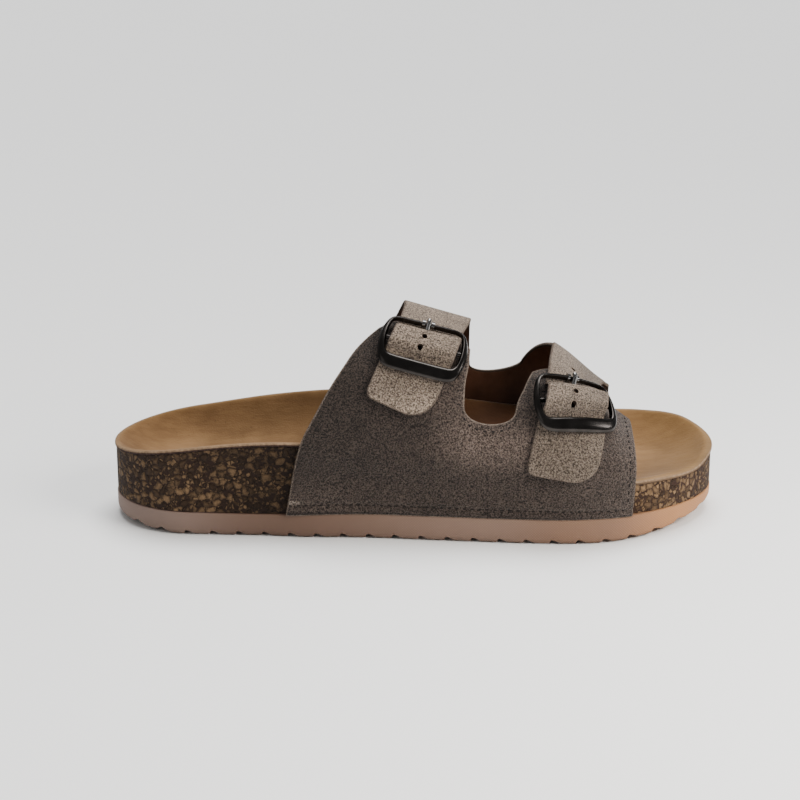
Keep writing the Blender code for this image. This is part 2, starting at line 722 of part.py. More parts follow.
def add_object(name, bm, collection, finish=None):
    """Object in metres from a mesh in millimetres."""
    bmesh.ops.transform(bm, matrix=Matrix.Scale(MM, 4), verts=bm.verts)
    mesh = bpy.data.meshes.new(name)
    bm.to_mesh(mesh)
    bm.free()
    obj = bpy.data.objects.new(name, mesh)
    collection.objects.link(obj)
    if finish:
        mesh.materials.append(finish)
        mesh.shade_smooth()
        mesh.set_sharp_from_angle(angle=SHARP_ANGLE)
    else:
        obj.hide_render = True
        obj.display_type = "WIRE"
    return obj


def combine(target, operation, helpers):
    """Boolean modifiers that join helpers to an object or cut them from it."""
    for helper in helpers:
        modifier = target.modifiers.new(f"{operation.lower()} {helper.name}", "BOOLEAN")
        modifier.operation = operation
        modifier.object = helper


def new_collection(name):
    collection = bpy.data.collections.new(name)
    bpy.context.scene.collection.children.link(collection)
    return collection


def centre(objects):
    """Moves everything so that the middle of the parts' box is over the origin."""
    graph = bpy.context.evaluated_depsgraph_get()
    ends = []
    for obj in objects:
        if not obj.hide_render:
            ends += [Vector(corner) for corner in obj.evaluated_get(graph).bound_box]
    middle_x = (min(p.x for p in ends) + max(p.x for p in ends)) / 2
    middle_y = (min(p.y for p in ends) + max(p.y for p in ends)) / 2
    for obj in objects:
        obj.data.transform(Matrix.Translation((-middle_x, -middle_y, 0)))


def main():
    for obj in list(bpy.data.objects):
        bpy.data.objects.remove(obj)
    parts, helpers = new_collection("platform_sandal"), new_collection("joined_and_cut_shapes")
    finish = {name: material(name) for name in FINISHES}

    add_object("outsole", outsole(), parts, finish["outsole"])
    add_object("cork_midsole", cork_midsole(), parts, finish["cork"])
    add_object("footbed", footbed(), parts, finish["footbed"])
    upper = add_object("upper", outer_panel(), parts, finish["suede"])
    straps = add_object("straps", inner_panel_and_straps(), helpers)
    joined, holes, bores = [straps], [], []
    for name in STRAPS:
        joined += [add_object(label, bm, helpers) for label, bm in buckle_loops(name)]
        bores.append(add_object(f"{name}_bore", loop_bore(name), helpers))
        holes.append(add_object(f"{name}_slot", prong_slot(name), helpers))
        holes += [add_object(label, bm, helpers) for label, bm in strap_holes(name)]
        frame = add_object(f"{name}_buckle_frame", buckle_ring(name), parts, finish["gunmetal"])
        fittings = [add_object(f"{name}_bar", centre_bar(name), helpers)]
        fittings += [add_object(label, bm, helpers) for label, bm in collars(name)]
        combine(frame, "UNION", fittings)
        prong = add_object(f"{name}_buckle_prong", prong_eye(name), parts, finish["gunmetal"])
        combine(prong, "UNION", [add_object(f"{name}_pin", prong_pin(name), helpers)])
    combine(straps, "DIFFERENCE", holes)
    combine(upper, "UNION", joined)
    combine(upper, "DIFFERENCE", bores)
    centre([*parts.objects, *helpers.objects])


if __name__ == "__main__":
    main()
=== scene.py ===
"""Looks of the platform sandal: suede straps, lining, stitches, moulded liner, cork, foam sole and buckles.

Shapes are worked out in millimetres, with distances "at" from the heel, and placed in the frame in metres.
"""

import math
from collections import namedtuple

import bmesh
import bpy
import numpy as np
from mathutils import Matrix, Vector


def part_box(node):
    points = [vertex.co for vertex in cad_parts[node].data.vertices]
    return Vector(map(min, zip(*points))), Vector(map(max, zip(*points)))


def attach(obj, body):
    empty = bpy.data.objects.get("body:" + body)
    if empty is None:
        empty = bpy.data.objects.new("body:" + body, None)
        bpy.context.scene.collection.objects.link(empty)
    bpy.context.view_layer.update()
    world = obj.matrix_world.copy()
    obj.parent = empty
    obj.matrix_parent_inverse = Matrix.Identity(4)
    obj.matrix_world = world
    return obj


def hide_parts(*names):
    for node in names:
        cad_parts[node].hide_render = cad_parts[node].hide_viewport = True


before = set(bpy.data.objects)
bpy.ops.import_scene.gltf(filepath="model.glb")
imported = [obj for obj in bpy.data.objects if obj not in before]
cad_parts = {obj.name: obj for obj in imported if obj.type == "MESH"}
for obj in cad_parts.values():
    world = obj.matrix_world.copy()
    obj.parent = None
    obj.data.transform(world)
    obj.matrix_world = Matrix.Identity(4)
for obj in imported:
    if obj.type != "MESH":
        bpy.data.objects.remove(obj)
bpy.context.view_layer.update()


def table(columns, *rows):
    """Rows of numbers with named columns."""
    return tuple(map(namedtuple("Row", columns)._make, rows))


MM = 0.001
OUTER, INNER = -1, 1  # the two sides of the foot
GAP = 0.3  # between pieces that lie on each other
WELD = 0.01  # points closer than this are one
SHARP_ANGLE = math.radians(50)

# Sole: sizes of its solids, with a thinner liner, deeper ripples and a tighter lower edge
LENGTH = 256
HEEL_REACH = 34
HEEL_POWER = 2
HEEL_TIP_Y = 0
TOE_REACH = {OUTER: 74, INNER: 44}
TOE_POWER = {OUTER: 2.1, INNER: 2.3}
TOE_TIP_Y = 9
SOLE = table(
    "at outer inner floor wedge bed rim_outer rim_inner",
    (0, 33, 31, 2.0, 10.3, 23.4, 31.6, 31.6),
    (32, 34.6, 31, 0.0, 10.0, 23.4, 37.4, 36.4),
    (70, 36.5, 30, 0.0, 9.9, 24.4, 40.8, 42.3),
    (105, 36.8, 28, 0.0, 10.8, 25.9, 38.6, 44.8),
    (140, 40.3, 32, 0.0, 10.9, 24.4, 33.2, 40.4),
    (175, 43.6, 41, 0.0, 10.9, 21.4, 27.8, 33.4),
    (205, 45.0, 46, 0.0, 11.0, 19.4, 25.5, 30.0),
    (230, 44.5, 47, 1.4, 10.8, 19.0, 24.8, 30.0),
    (246, 41.9, 46.4, 3.6, 10.4, 19.5, 24.2, 30.4),
    (256, 40, 46, 5.2, 10.4, 20.0, 28.0, 28.0),
)
LEDGE = 2.0
LEDGE_ENDS = (60, 90, 205, 235)
LOWER_EDGE = 2.4
TOP_EDGE = 0.6
LOWER_EDGE_STEPS, TOP_EDGE_STEPS = 6, 2
RIPPLE_PITCH = 10.8
RIPPLE_DEPTH = 2.2
RIPPLE_LAND = (0.45, 0.9)
RIPPLE_STEPS = 14
LINER = 1.5  # where it shows, at its edge
CORK_INSET = 0.25  # the cork stands this far inside the liner's edge
RIM_SHARE = 0.95
CUP_POWER = 3.6
TOE_BAR_AT = 214
TOE_BAR_HEIGHT = 1.6
TOE_BAR_LENGTH = 7
BED_COLUMNS = 64
BED_STEP = 1.6
WALL_ROWS = 12
END_LENGTH = 24
END_STEPS = 22

# Last, the form under the upper
LAST = table(
    "at crest crest_y full",
    (60, 104.0, 2, 2.0),
    (100, 95.5, 4, 2.0),
    (125, 87.8, 5, 2.1),
    (152, 79.4, 6, 2.2),
    (186, 68.8, 7, 2.3),
    (212, 47.2, 8, 2.4),
    (235, 36.0, 9, 2.4),
)
LAST_AT = np.arange(56.0, 240.0)
LAST_SHARES = np.linspace(0, 1, 401)
ARC_STEPS = 120
RIM_LIFT = 1  # the last's sides stand upright this far above the liner's rim
FAR_CELL = 1.001  # keeps places at the far ends of the last's grid inside a cell
NORMAL_SPAN = 5  # shares to each side that a normal is averaged over

# Upper: the outer panel's edges, the straps' centre lines and the inner panel
PANEL_WALL = 2.0
PANEL_EDGES = "back gap_back gap_front front"
OUTER_PANEL = table(
    "share " + PANEL_EDGES,
    (0.00, 75.0, 140.0, 172.0, 216.0),
    (0.14, 81.0, 144.0, 170.0, 217.0),
    (0.21, 88.0, 146.5, 169.0, 216.8),
    (0.26, 93.5, 147.0, 169.2, 216.6),
    (0.305, 99.0, 147.5, 172.4, 216.6),
    (0.345, 104.0, 148.8, 175.2, 216.4),
    (0.405, 113.5, 149.8, 180.5, 215.0),
)
GAP_LEVEL = 0.26
GAP_BOTTOM = 0.214
GAP_ROUND = 0.7
BACK_LEG_TOP = (0.402, 0.395)
FRONT_LEG_TOP = (0.352, 0.348)
LEG_CROWN, LEG_CROWN_POWER = 0.036, 4
PANEL_SIDE_COLUMNS, PANEL_GAP_COLUMNS = 54, 36
PANEL_BASE_ROWS, PANEL_LEG_ROWS = 56, 30
PANEL_ROW_POWER = 1.5  # brings the panel's rows closer together by the sole
STRAP_WALL = 1.9
STRAP_MEASURES = "along at share width"
BACK_STRAP = table(
    STRAP_MEASURES,
    (-28, 120.0, 0.233, 26.6),
    (-12.5, 126.0, 0.31, 26.6),
    (0, 130.4, 0.37, 26.4),
    (15, 134.3, 0.448, 25.7),
    (34.5, 137.0, 0.55, 28.3),
    (50.5, 135.8, 0.635, 31.0),
    (73, 131.5, 0.752, 42.0),
)
FRONT_STRAP = table(
    STRAP_MEASURES,
    (-31, 186.4, 0.105, 26.6),
    (-12.5, 189.8, 0.213, 26.6),
    (0, 191.0, 0.288, 25.2),
    (42.5, 196.6, 0.55, 27.0),
    (57.5, 198.2, 0.645, 29.0),
    (74, 194.8, 0.745, 40.0),
)
STRAPS = {"back": BACK_STRAP, "front": FRONT_STRAP}
ON_PANEL_LIFTS = (1.9, 3.7)  # a strap's underside and top on the panel
BULGE_LIFTS = (6.2, 8.1)  # and over the centre bar
BULGE_TOP = (4.8, 8.3)  # along the strap, where it comes down above the bar
BULGE_LOW = (-6.2, -2.4)  # and below it
SETTLE = (12.0, 23.0)  # along the strap, from the panel down to the foot
HEELWARD, TOEWARD = -1, 1  # the two edges of a strap
TAB_ROUND = {HEELWARD: 3.0, TOEWARD: 10.0}
TAB_CURL, TAB_CURL_LENGTH = 0.9, 12.0  # how far the tab's tip stands off the panel
STRAP_COLUMNS = 26
STRAP_ROWS, TIP_ROWS = 92, 20
INNER_FOOT = table(PANEL_EDGES, (88.0, 140.0, 172.0, 216.0))[0]
INNER_LEAN = 1.8
INNER_GAP_DIP = 0.026
INNER_GAP_COLUMNS, INNER_ROWS = 30, 40
EDGE_STEPS = 6  # steps round a cut edge
CUT_EDGE_ROUND = 0.6
LINER_EDGE_ROUND = 0.3
HOLE_RADIUS = 1.1
HOLE_DEPTH = 6.0
HOLES = {"back": (2.1, -2.9), "front": (23.5, 2.0, -3.4)}  # along the strap
HOLE_ACROSS = {"back": -0.8, "front": -1.6}
SLOT = (5.2, 7.9)  # of the prong, along the strap

# Creases of the outer panel: soft ridges, or troughs where the height is below 0, between two places on it
CREASES = table(
    "at share to_at to_share height width",
    (84, 0.130, 140, 0.125, 0.40, 6.0),
    (150, 0.165, 176, 0.170, 0.70, 6.0),
    (143, 0.310, 136, 0.180, -0.55, 4.5),
    (136, 0.180, 118, 0.140, -0.40, 6.0),
    (172, 0.225, 178, 0.110, -0.50, 4.5),
    (208, 0.290, 212, 0.060, 0.35, 4.0),
    (92, 0.085, 128, 0.065, -0.25, 5.0),
)

# Stitches: rows of thread round the panels, the lower one in a soft trough
STITCH_PITCH = 3.05
STITCH_SIZE = (0.85, 0.42, 0.36)
STITCH_LIFT = 0.08
STITCH_INSET = 2.4  # from the cut edges
STITCH_RISE = 3.4  # from the sole
STITCH_CORNER = 0.02  # share between the lower row and the one up the front
STITCH_REACH = 0.5  # to each side, for a stitch's direction
GAP_MARGIN = 2  # columns of the panel at each end of the row under the gap
FOOT_POINTS, FRONT_POINTS, GAP_POINTS = 120, 80, 60  # that the rows follow
TROUGH_DEPTH, TROUGH_WIDTH = 0.35, 1.0

# Buckles, turned on their straps and flatter than the last under them
BUCKLE_TURN = {"back": math.radians(8), "front": math.radians(15)}
BUCKLE_FLATNESS = 0.6
PLANE_REACH = (12.0, 9.0)
TURN_ENDS = (-20.0, -9.0, 11.0, 23.0)
RING_OUTER, RING_INNER = table(
    "half_width bow top bottom squareness",
    (18.5, 0.17, 11.4, -14.4, 8.0),
    (15.4, 0.08, 9.2, -7.4, 12.0),
)
# Corners of the ring's section: share of the way outwards, and lift
RING_SECTION = ((0, 4.3), (0.15, 3.8), (0.85, 3.8), (1, 4.3), (0.78, 5.6), (0.2, 6.3))
RING_CORNER_CUTS, RING_CORNER_SHARE = 3, 0.2
RING_STEPS = 180
RING_FINENESS = 40  # smaller steps in each, to measure the way round
BAR_LIFT = 4.1
BAR_RADIUS = 0.9
BAR_REACH = 16.4
BAR_STEPS, COLLAR_STEPS = 24, 4
COLLAR_PLACES = (-1.9, 1.9)
COLLAR_HALF = 0.6
COLLAR_RADIUS = 1.5
COLLAR_ALONG, COLLAR_LIFT = 10.3, 5.0
EYE_RADII = (1.2, 1.8)
EYE_HALF_WIDTH = 1.2
PRONG_RADIUS = 0.9
PRONG = table(
    "step along lift",
    (0, 1.4, 4.2),
    (1, 4.0, 4.1),
    (2, 5.7, 4.15),
    (3, 7.5, 5.6),
    (4, 9.0, 6.95),
    (5, 10.0, 7.25),
    (6, 11.0, 7.25),
)
PRONG_STEPS = 30
LOOP_RADIUS = 2.35
LOOP_SPAN = (3.0, 12.6)
LOOP_ROOT = 1.0
ROUND_STEPS = 24

# Camera and light, in metres
CAMERA_TARGET = Vector((-6.5, 0.25, 47.9)) * MM
CAMERA_TILT = math.radians(17)
CAMERA_DISTANCE = 0.8
CAMERA_LENS = 84.5
CAMERA_CLIP = 0.01
FLOOR_SIZE = 6.0
STUDIO_STRENGTH = 0.3
# A key by the toe, a glint for the metal, an even light from above and a weak fill by the heel
LIGHTS = (
    ("key", "AREA", (0.42, -0.32, 0.38), {"size": 0.3, "energy": 4.5, "color": (1, 0.96, 0.9)}),
    ("glint", "AREA", (0.55, -0.1, 0.3), {"size": 0.1, "energy": 0.6}),
    ("above", "SUN", (0.06, 0.3, 1.0), {"energy": 4.4, "angle": math.radians(40)}),
    ("fill", "AREA", (-0.9, -1.0, 0.6), {"size": 1.0, "energy": 2.2}),
)


def mix(first, second, share):
    return first + (second - first) * share


def ease(low, high, value):
    """Smooth step from 0 at low to 1 at high."""
    f = np.clip((value - low) / (high - low), 0, 1)
    return f * f * (3 - 2 * f)


def ease_round(share):
    """0 to 1 along half a circle's width."""
    return (1 - np.cos(np.pi * share)) / 2


def curve(rows, column, place):
    """Values of one column of a table, on a smooth curve over the table's first column."""
    keys = np.array([row[0] for row in rows], float)
    values = np.array([getattr(row, column) for row in rows], float)
    low = np.maximum(np.arange(len(keys)) - 1, 0)
    high = np.minimum(np.arange(len(keys)) + 1, len(keys) - 1)
    slopes = (values[high] - values[low]) / (keys[high] - keys[low])
    place = np.clip(place, keys[0], keys[-1])
    k = np.clip(np.searchsorted(keys, place, side="right") - 1, 0, len(keys) - 2)
    span = keys[k + 1] - keys[k]
    f = (place - keys[k]) / span
    return (
        (1 + 2 * f) * (1 - f) ** 2 * values[k]
        + f * (1 - f) ** 2 * span * slopes[k]
        + f * f * (3 - 2 * f) * values[k + 1]
        - f * f * (1 - f) * span * slopes[k + 1]
    )


def unit(vectors):
    return vectors / np.linalg.norm(vectors, axis=-1, keepdims=True)


def run_lengths(points):
    """Way along a line to each of its points."""
    return np.concatenate([[0], np.cumsum(np.linalg.norm(np.diff(points, axis=0), axis=1))])


def end_measure(at, side, margin=0.0):
    """(0 along the sole's length, rising to 1 at the very heel or toe; y of that end; roundness power)."""
    heel = 1 - (at + margin) / (HEEL_REACH + margin)
    toe = 1 - (LENGTH + margin - at) / (TOE_REACH[side] + margin)
    at_heel = heel > 0
    near_end = np.clip(np.where(at_heel, heel, toe), 0, 1)
    return near_end, np.where(at_heel, HEEL_TIP_Y, TOE_TIP_Y), np.where(at_heel, HEEL_POWER, TOE_POWER[side])


def edge_y(at, side, margin=0.0):
    """y of the sole's outline on one side, the outline grown by a margin."""
    half = curve(SOLE, "outer" if side == OUTER else "inner", at) + margin
    near_end, tip_y, power = end_measure(at, side, margin)
    return mix(tip_y, side * half, np.maximum(0, 1 - near_end**power) ** (1 / power))


def bed_measure(at, across):
    """0 on the footbed's middle line, rising to 1 at its edge."""
    turn = ease(-1, 1, across)
    near_end = mix(end_measure(at, OUTER)[0], end_measure(at, INNER)[0], turn)
    return np.sqrt(near_end**2 + across**2 * (1 - near_end**2))


def bed_z(at, across):
    """Height of the footbed's top. across runs from -1 at the outer edge to 1 at the inner edge."""
    turn = ease(-1, 1, across)
    rim = mix(curve(SOLE, "rim_outer", at), curve(SOLE, "rim_inner", at), turn)
    cup = np.minimum(1, bed_measure(at, across) / RIM_SHARE) ** CUP_POWER
    toe_bar = TOE_BAR_HEIGHT * np.exp(-(((at - TOE_BAR_AT) / TOE_BAR_LENGTH) ** 2)) * (1 - cup)
    return mix(curve(SOLE, "bed", at), rim, cup) + toe_bar


def ripple(at):
    """Height of the tread's groove: it falls to the land and rises steeply on the toe side."""
    phase = at / RIPPLE_PITCH % 1
    land_start, land_end = RIPPLE_LAND
    return RIPPLE_DEPTH * (1 - ease(0, land_start, phase) + ease(land_end, 1, phase))


def last_grid():
    """Points of the last, section by section, with its slopes forwards and round it, and its normals."""
    turns = np.linspace(0, math.pi / 2, ARC_STEPS + 1)
    sections = []
    for at in LAST_AT:
        crest, crest_y = curve(LAST, "crest", at), curve(LAST, "crest_y", at)
        bend = 2 / curve(LAST, "full", at)
        base = curve(SOLE, "wedge", at) + GAP
        halves = []
        for side, rim_name in ((OUTER, "rim_outer"), (INNER, "rim_inner")):
            y_base = edge_y(at, side, GAP)
            rim = curve(SOLE, rim_name, at) + RIM_LIFT
            y = np.concatenate([[y_base], mix(crest_y, y_base, np.cos(turns) ** bend)])
            z = np.concatenate([[base], mix(rim, crest, np.sin(turns) ** bend)])
            halves.append((y, z) if side == OUTER else (y[-2::-1], z[-2::-1]))
        y, z = (np.concatenate(pair) for pair in zip(*halves))
        lengths = run_lengths(np.stack([y, z], axis=1))
        marks = LAST_SHARES * lengths[-1]
        y, z = (np.interp(marks, lengths, values) for values in (y, z))
        sections.append((np.full_like(marks, at), y, z))
    points = np.moveaxis(np.array(sections), 1, 2)
    ahead, over = np.gradient(points, axis=0), np.gradient(points, LAST_SHARES, axis=1)
    normals = unit(np.cross(ahead, over))
    spread = [np.roll(normals, k, axis=1) for k in range(-NORMAL_SPAN, NORMAL_SPAN + 1)]
    inside = slice(NORMAL_SPAN, -NORMAL_SPAN)
    normals[:, inside] = unit(np.mean(spread, axis=0))[:, inside]
    return points, ahead, over, normals


LAST_POINTS, LAST_AHEAD, LAST_OVER, LAST_NORMALS = last_grid()
ROUND_LAST = np.linalg.norm(np.diff(LAST_POINTS, axis=1), axis=2).sum(axis=1).mean()  # way round the last


def on_grid(values, at, share):
    """Values of the last's grid at places between its points."""
    i = np.clip(at - LAST_AT[0], 0, len(LAST_AT) - FAR_CELL)
    j = np.clip(share, 0, 1) * (len(LAST_SHARES) - FAR_CELL)
    i0, j0 = i.astype(int), j.astype(int)
    fi, fj = (i - i0)[..., None], (j - j0)[..., None]
    near = mix(values[i0, j0], values[i0, j0 + 1], fj)
    far = mix(values[i0 + 1, j0], values[i0 + 1, j0 + 1], fj)
    return mix(near, far, fi)


def on_last(at, share, lift):
    """Points at a height off the last."""
    at, share, lift = np.broadcast_arrays(np.asarray(at, float), share, lift)
    return on_grid(LAST_POINTS, at, share) + on_grid(LAST_NORMALS, at, share) * lift[..., None]


def strap_place(strap, across, along):
    """(at, share) of places on a strap, across it towards the toe and along it from its centre bar."""
    across, along = np.broadcast_arrays(np.asarray(across, float), np.asarray(along, float))
    at, share = curve(strap, "at", along), curve(strap, "share", along)
    ahead, over = on_grid(LAST_AHEAD, at, share), on_grid(LAST_OVER, at, share)
    turn_at = curve(strap, "at", along + 1) - curve(strap, "at", along - 1)
    turn_share = curve(strap, "share", along + 1) - curve(strap, "share", along - 1)
    run = unit(ahead * turn_at[..., None] + over * turn_share[..., None])
    normal = np.cross(ahead, over)
    side = np.cross(run, unit(normal))

    def part(first, second):
        return (np.cross(first, second) * normal).sum(axis=-1) / (normal**2).sum(axis=-1)

    return at + across * part(side, over), share + across * part(ahead, side)


def on_strap(strap, across, along, lift):
    return on_last(*strap_place(strap, across, along), lift)


def buckle_plane(strap):
    """(Point on the last under the centre bar, directions across and along the strap and off the last)."""
    across, along = PLANE_REACH
    over = unit(on_strap(strap, 0, along, 0) - on_strap(strap, 0, -along, 0))
    ahead = on_strap(strap, across, 0, 0) - on_strap(strap, -across, 0, 0)
    off = unit(np.cross(ahead, over))
    return on_strap(strap, 0, 0, 0), np.cross(over, off), over, off


def flattened(strap, across, along, lift, share):
    """Points off a strap's places on the last, moved by a share to the flat plane under the buckle."""
    origin, ahead, over, off = buckle_plane(strap)
    bent = on_strap(strap, across, along, lift)
    measures = (across, along, lift, share)
    across, along, lift, share = (np.asarray(measure, float)[..., None] for measure in measures)
    return mix(bent, origin + ahead * across + over * along + off * lift, share)


def turned(name, across, along):
    """Places on a strap of places on its buckle, across and along the frame."""
    c, s = math.cos(BUCKLE_TURN[name]), math.sin(BUCKLE_TURN[name])
    return across * c - along * s, across * s + along * c


def on_buckle(name, across, along, lift):
    return flattened(STRAPS[name], *turned(name, across, along), lift, BUCKLE_FLATNESS)


def strap_bulge(along):
    """1 over the centre bar, falling to 0 under the frame's top and bottom bars."""
    return ease(*BULGE_LOW, along) * (1 - ease(*BULGE_TOP, along))


def strap_lift(strap, along, face):
    """Height off the last of a strap, from its underside at face 0 to its top at face 1."""
    curl = TAB_CURL * ease(strap[0].along + TAB_CURL_LENGTH, strap[0].along, along)
    flat = mix(mix(*ON_PANEL_LIFTS, face) + curl, STRAP_WALL * face, ease(*SETTLE, along))
    return mix(flat, mix(*BULGE_LIFTS, face), strap_bulge(along))


def strap_point(name, across, along, face):
    """Points of a strap, which bends along the buckle's bars and is as flat as the buckle over them."""
    strap = STRAPS[name]
    follow = ease(*TURN_ENDS[:2], along) * (1 - ease(*TURN_ENDS[2:], along))
    skewed = along + across * math.tan(BUCKLE_TURN[name]) * follow
    flatness = BUCKLE_FLATNESS * strap_bulge(along)
    return flattened(strap, across, skewed, strap_lift(strap, along, face), flatness)


def strap_rows(strap):
    """Places along a strap that its rows lie at, from the inner panel to the tab's tip."""
    start, tip, reach = strap[-1].along, strap[0].along, TAB_ROUND[TOEWARD]
    turn = math.pi / 2 * np.arange(1, TIP_ROWS + 1) / TIP_ROWS
    return np.concatenate([np.linspace(start, tip + reach, STRAP_ROWS), tip + reach * (1 - np.sin(turn))])


def strap_edge(strap, along, side):
    """Places across a strap of one of its edges, with the corner of the tab rounded."""
    radius = TAB_ROUND[side]
    into_tip = np.clip((strap[0].along + radius - along) / radius, 0, 1)
    return side * (curve(strap, "width", along) / 2 - radius * (1 - np.sqrt(1 - into_tip**2)))


def strap_across(strap, along, share):
    """Places across a strap at a share of its breadth."""
    return mix(strap_edge(strap, along, HEELWARD), strap_edge(strap, along, TOEWARD), share)


class Value:
    """A socket of a finish. Arithmetic on it adds Math nodes."""

    def __init__(self, finish, socket):
        self.finish = finish
        self.socket = socket

    def math(self, operation, first, second):
        return self.finish.node("Math", {"operation": operation}, {0: first, 1: second})

    def __add__(self, other):
        return self.math("ADD", self, other)

    def __sub__(self, other):
        return self.math("SUBTRACT", self, other)

    def __rsub__(self, other):
        return self.math("SUBTRACT", other, self)

    def __mul__(self, other):
        return self.math("MULTIPLY", self, other)

    def __gt__(self, other):
        return self.math("GREATER_THAN", self, other)

    __radd__ = __add__
    __rmul__ = __mul__

    def between(self, low, high):
        """Smooth step from 0 at low to 1 at high."""
        settings = {"interpolation_type": "SMOOTHSTEP"}
        return self.finish.node("MapRange", settings, {"Value": self, "From Min": low, "From Max": high})

    def below(self, low, high):
        """Smooth step from 1 at low to 0 at high."""
        return 1 - self.between(low, high)

    def within(self, low, full, fading, high):
        """Rises from 0 at low to 1 at full, and falls from 1 at fading to 0 at high."""
        return self.between(low, full) * self.below(fading, high)


class Finish:
    """A material: its nodes are added one by one, and surface() closes it."""

    def __init__(self, name):
        self.material = bpy.data.materials.new(name)
        self.material.use_nodes = True
        self.tree = self.material.node_tree
        self.shader = self.tree.nodes["Principled BSDF"]
        self.places = self.node("TexCoord", out="Object")

    def node(self, kind, settings=(), inputs=(), out=0):
        """Adds a node, makes its settings, sets or links its sockets and gives one of its outputs."""
        node = self.tree.nodes.new("ShaderNode" + kind)
        for key, value in dict(settings).items():
            setattr(node, key, value)
        for key, value in dict(inputs).items():
            self.feed(node.inputs[key], value)
        return Value(self, node.outputs[out])

    def feed(self, socket, value):
        """Links a socket to a value, or sets it. A colour is given as red, green and blue."""
        if isinstance(value, Value):
            self.tree.links.new(value.socket, socket)
        else:
            socket.default_value = (*value, 1) if socket.type == "RGBA" else value

    def noise(self, scale, detail=2.0, roughness=0.5, places=None):
        inputs = {"Scale": scale, "Detail": detail, "Roughness": roughness}
        return self.node("TexNoise", {}, {"Vector": places or self.places, **inputs})

    def wave(self, places, scale, direction):
        return self.node("TexWave", {"bands_direction": direction}, {"Vector": places, "Scale": scale})

    def cells(self, scale, feature="F1", out="Distance", places=None):
        inputs = {"Vector": places or self.places, "Scale": scale}
        return self.node("TexVoronoi", {"feature": feature}, inputs, out)

    def stretched(self, x, y, z):
        """Object places with each axis stretched."""
        return self.node("Mapping", {}, {"Vector": self.places, "Scale": (x, y, z)})

    def shifted(self, noise_scale, distance):
        """Object places pushed about by noise."""
        push = self.node("TexNoise", {}, {"Vector": self.places, "Scale": noise_scale}, "Color")
        push = self.node("VectorMath", {"operation": "SUBTRACT"}, {0: push, 1: (0.5, 0.5, 0.5)})
        push = self.node("VectorMath", {"operation": "SCALE"}, {0: push, "Scale": distance})
        return self.node("VectorMath", {"operation": "ADD"}, {0: self.places, 1: push})

    def axis(self, name):
        """Distance along an axis of the frame, in metres."""
        return self.node("SeparateXYZ", {}, {0: self.places}, name)

    def marked(self, name):
        """A number that the piece's points carry."""
        return self.node("Attribute", {"attribute_name": name}, {}, "Fac")

    def blend(self, share, first, second):
        return self.node("Mix", {"data_type": "RGBA"}, {0: share, 6: first, 7: second}, 2)

    def layered(self, color, *layers):
        """A colour with others laid over it in turn, each given as (share, colour)."""
        for share, over in layers:
            color = self.blend(share, color, over)
        return color

    def shade(self, color, factor):
        """A colour made lighter or darker by a factor."""
        return self.node("VectorMath", {"operation": "SCALE"}, {0: color, "Scale": factor})

    def surface(self, color, roughness, height=None, depth=0.0, **constants):
        """Links what varies to the shader, with height as bump of a depth in millimetres."""
        self.feed(self.shader.inputs["Base Color"], color)
        self.feed(self.shader.inputs["Roughness"], roughness)
        if height:
            bump = self.node("Bump", {}, {"Distance": depth * MM, "Height": height}, "Normal")
            self.feed(self.shader.inputs["Normal"], bump)
        for key, value in constants.items():
            self.shader.inputs[key.replace("_", " ").title().replace("Ior", "IOR")].default_value = value
        return self.material


def nap(finish, deep, pale):
    """(Colour, height) of short nap: fine pale tufts, dark pits between them and faint brushed patches."""
    tufts = finish.noise(1600, 3, 0.7)
    patches = finish.noise(60, 4, 0.6).between(0.3, 0.7)
    color = finish.blend(tufts.between(0.35, 0.68), deep, pale)
    return finish.shade(color, 1.1 - patches * 0.2), tufts


NAP = {"depth": 1.4, "sheen_weight": 0.1, "sheen_roughness": 0.5, "specular_ior_level": 0.15}


def strap_suede():
    """The straps' paler suede: palest on the back tab, with painted light on the straps' tops over the foot,
    darker towards the toe.
    """
    finish = Finish("strap_suede")
    color, height = nap(finish, (0.024, 0.018, 0.014), (0.28, 0.217, 0.166))
    z = finish.axis("Z")
    to_toe = finish.axis("X").between(0.01, 0.05)
    on_tab = z.below(0.056, 0.066) * (1 - to_toe)
    # Painted light on the tops of both straps over the foot
    on_top = z.between(0.076, 0.086) + z.between(0.058, 0.066) * to_toe
    light = 1.2 - to_toe * 0.24 + on_tab * 0.7 + on_top * 0.35
    return finish.surface(finish.shade(color, light), 0.95, height, **NAP)


def panel_suede():
    """The panel's darker suede, with painted shade high behind, painted light low behind, under and by the
    gap and in front, a painted shadow along its foot, and a scuff low behind.
    """
    finish = Finish("panel_suede")
    color, height = nap(finish, (0.004, 0.0028, 0.0023), (0.088, 0.065, 0.053))
    x, z = finish.axis("X"), finish.axis("Z")
    # Painted shade high behind, and painted light low behind, under and by the gap and in front
    shade_high_behind = x.below(-0.04, 0.03) * z.between(0.016, 0.034)
    light_low_behind = x.below(-0.045, -0.01) * z.below(0.018, 0.03)
    light_under_gap = x.within(0.0, 0.025, 0.04, 0.058) * z.within(0.027, 0.041, 0.042, 0.056)
    light_by_gap = x.within(0.0, 0.014, 0.02, 0.03) * z.between(0.034, 0.05)
    in_front = x.between(0.06, 0.085)
    # Painted shadow along the panel's foot, where it meets the sole
    shadow_at_foot = z.below(0.0112, 0.0122)
    light = 1.1 - shade_high_behind * 0.36 + light_low_behind * 0.25 + light_under_gap * 1.4 + light_by_gap * 0.5 + in_front * 0.3
    color = finish.shade(color, light * (1 - shadow_at_foot * 0.6))
    scuff = x.below(-0.0515, -0.0455) * z.within(0.0146, 0.0153, 0.0161, 0.0168)
    color = finish.blend(scuff * finish.noise(1300, 2).between(0.4, 0.6), color, (0.33, 0.27, 0.22))
    return finish.surface(color, 0.95, height, **NAP)


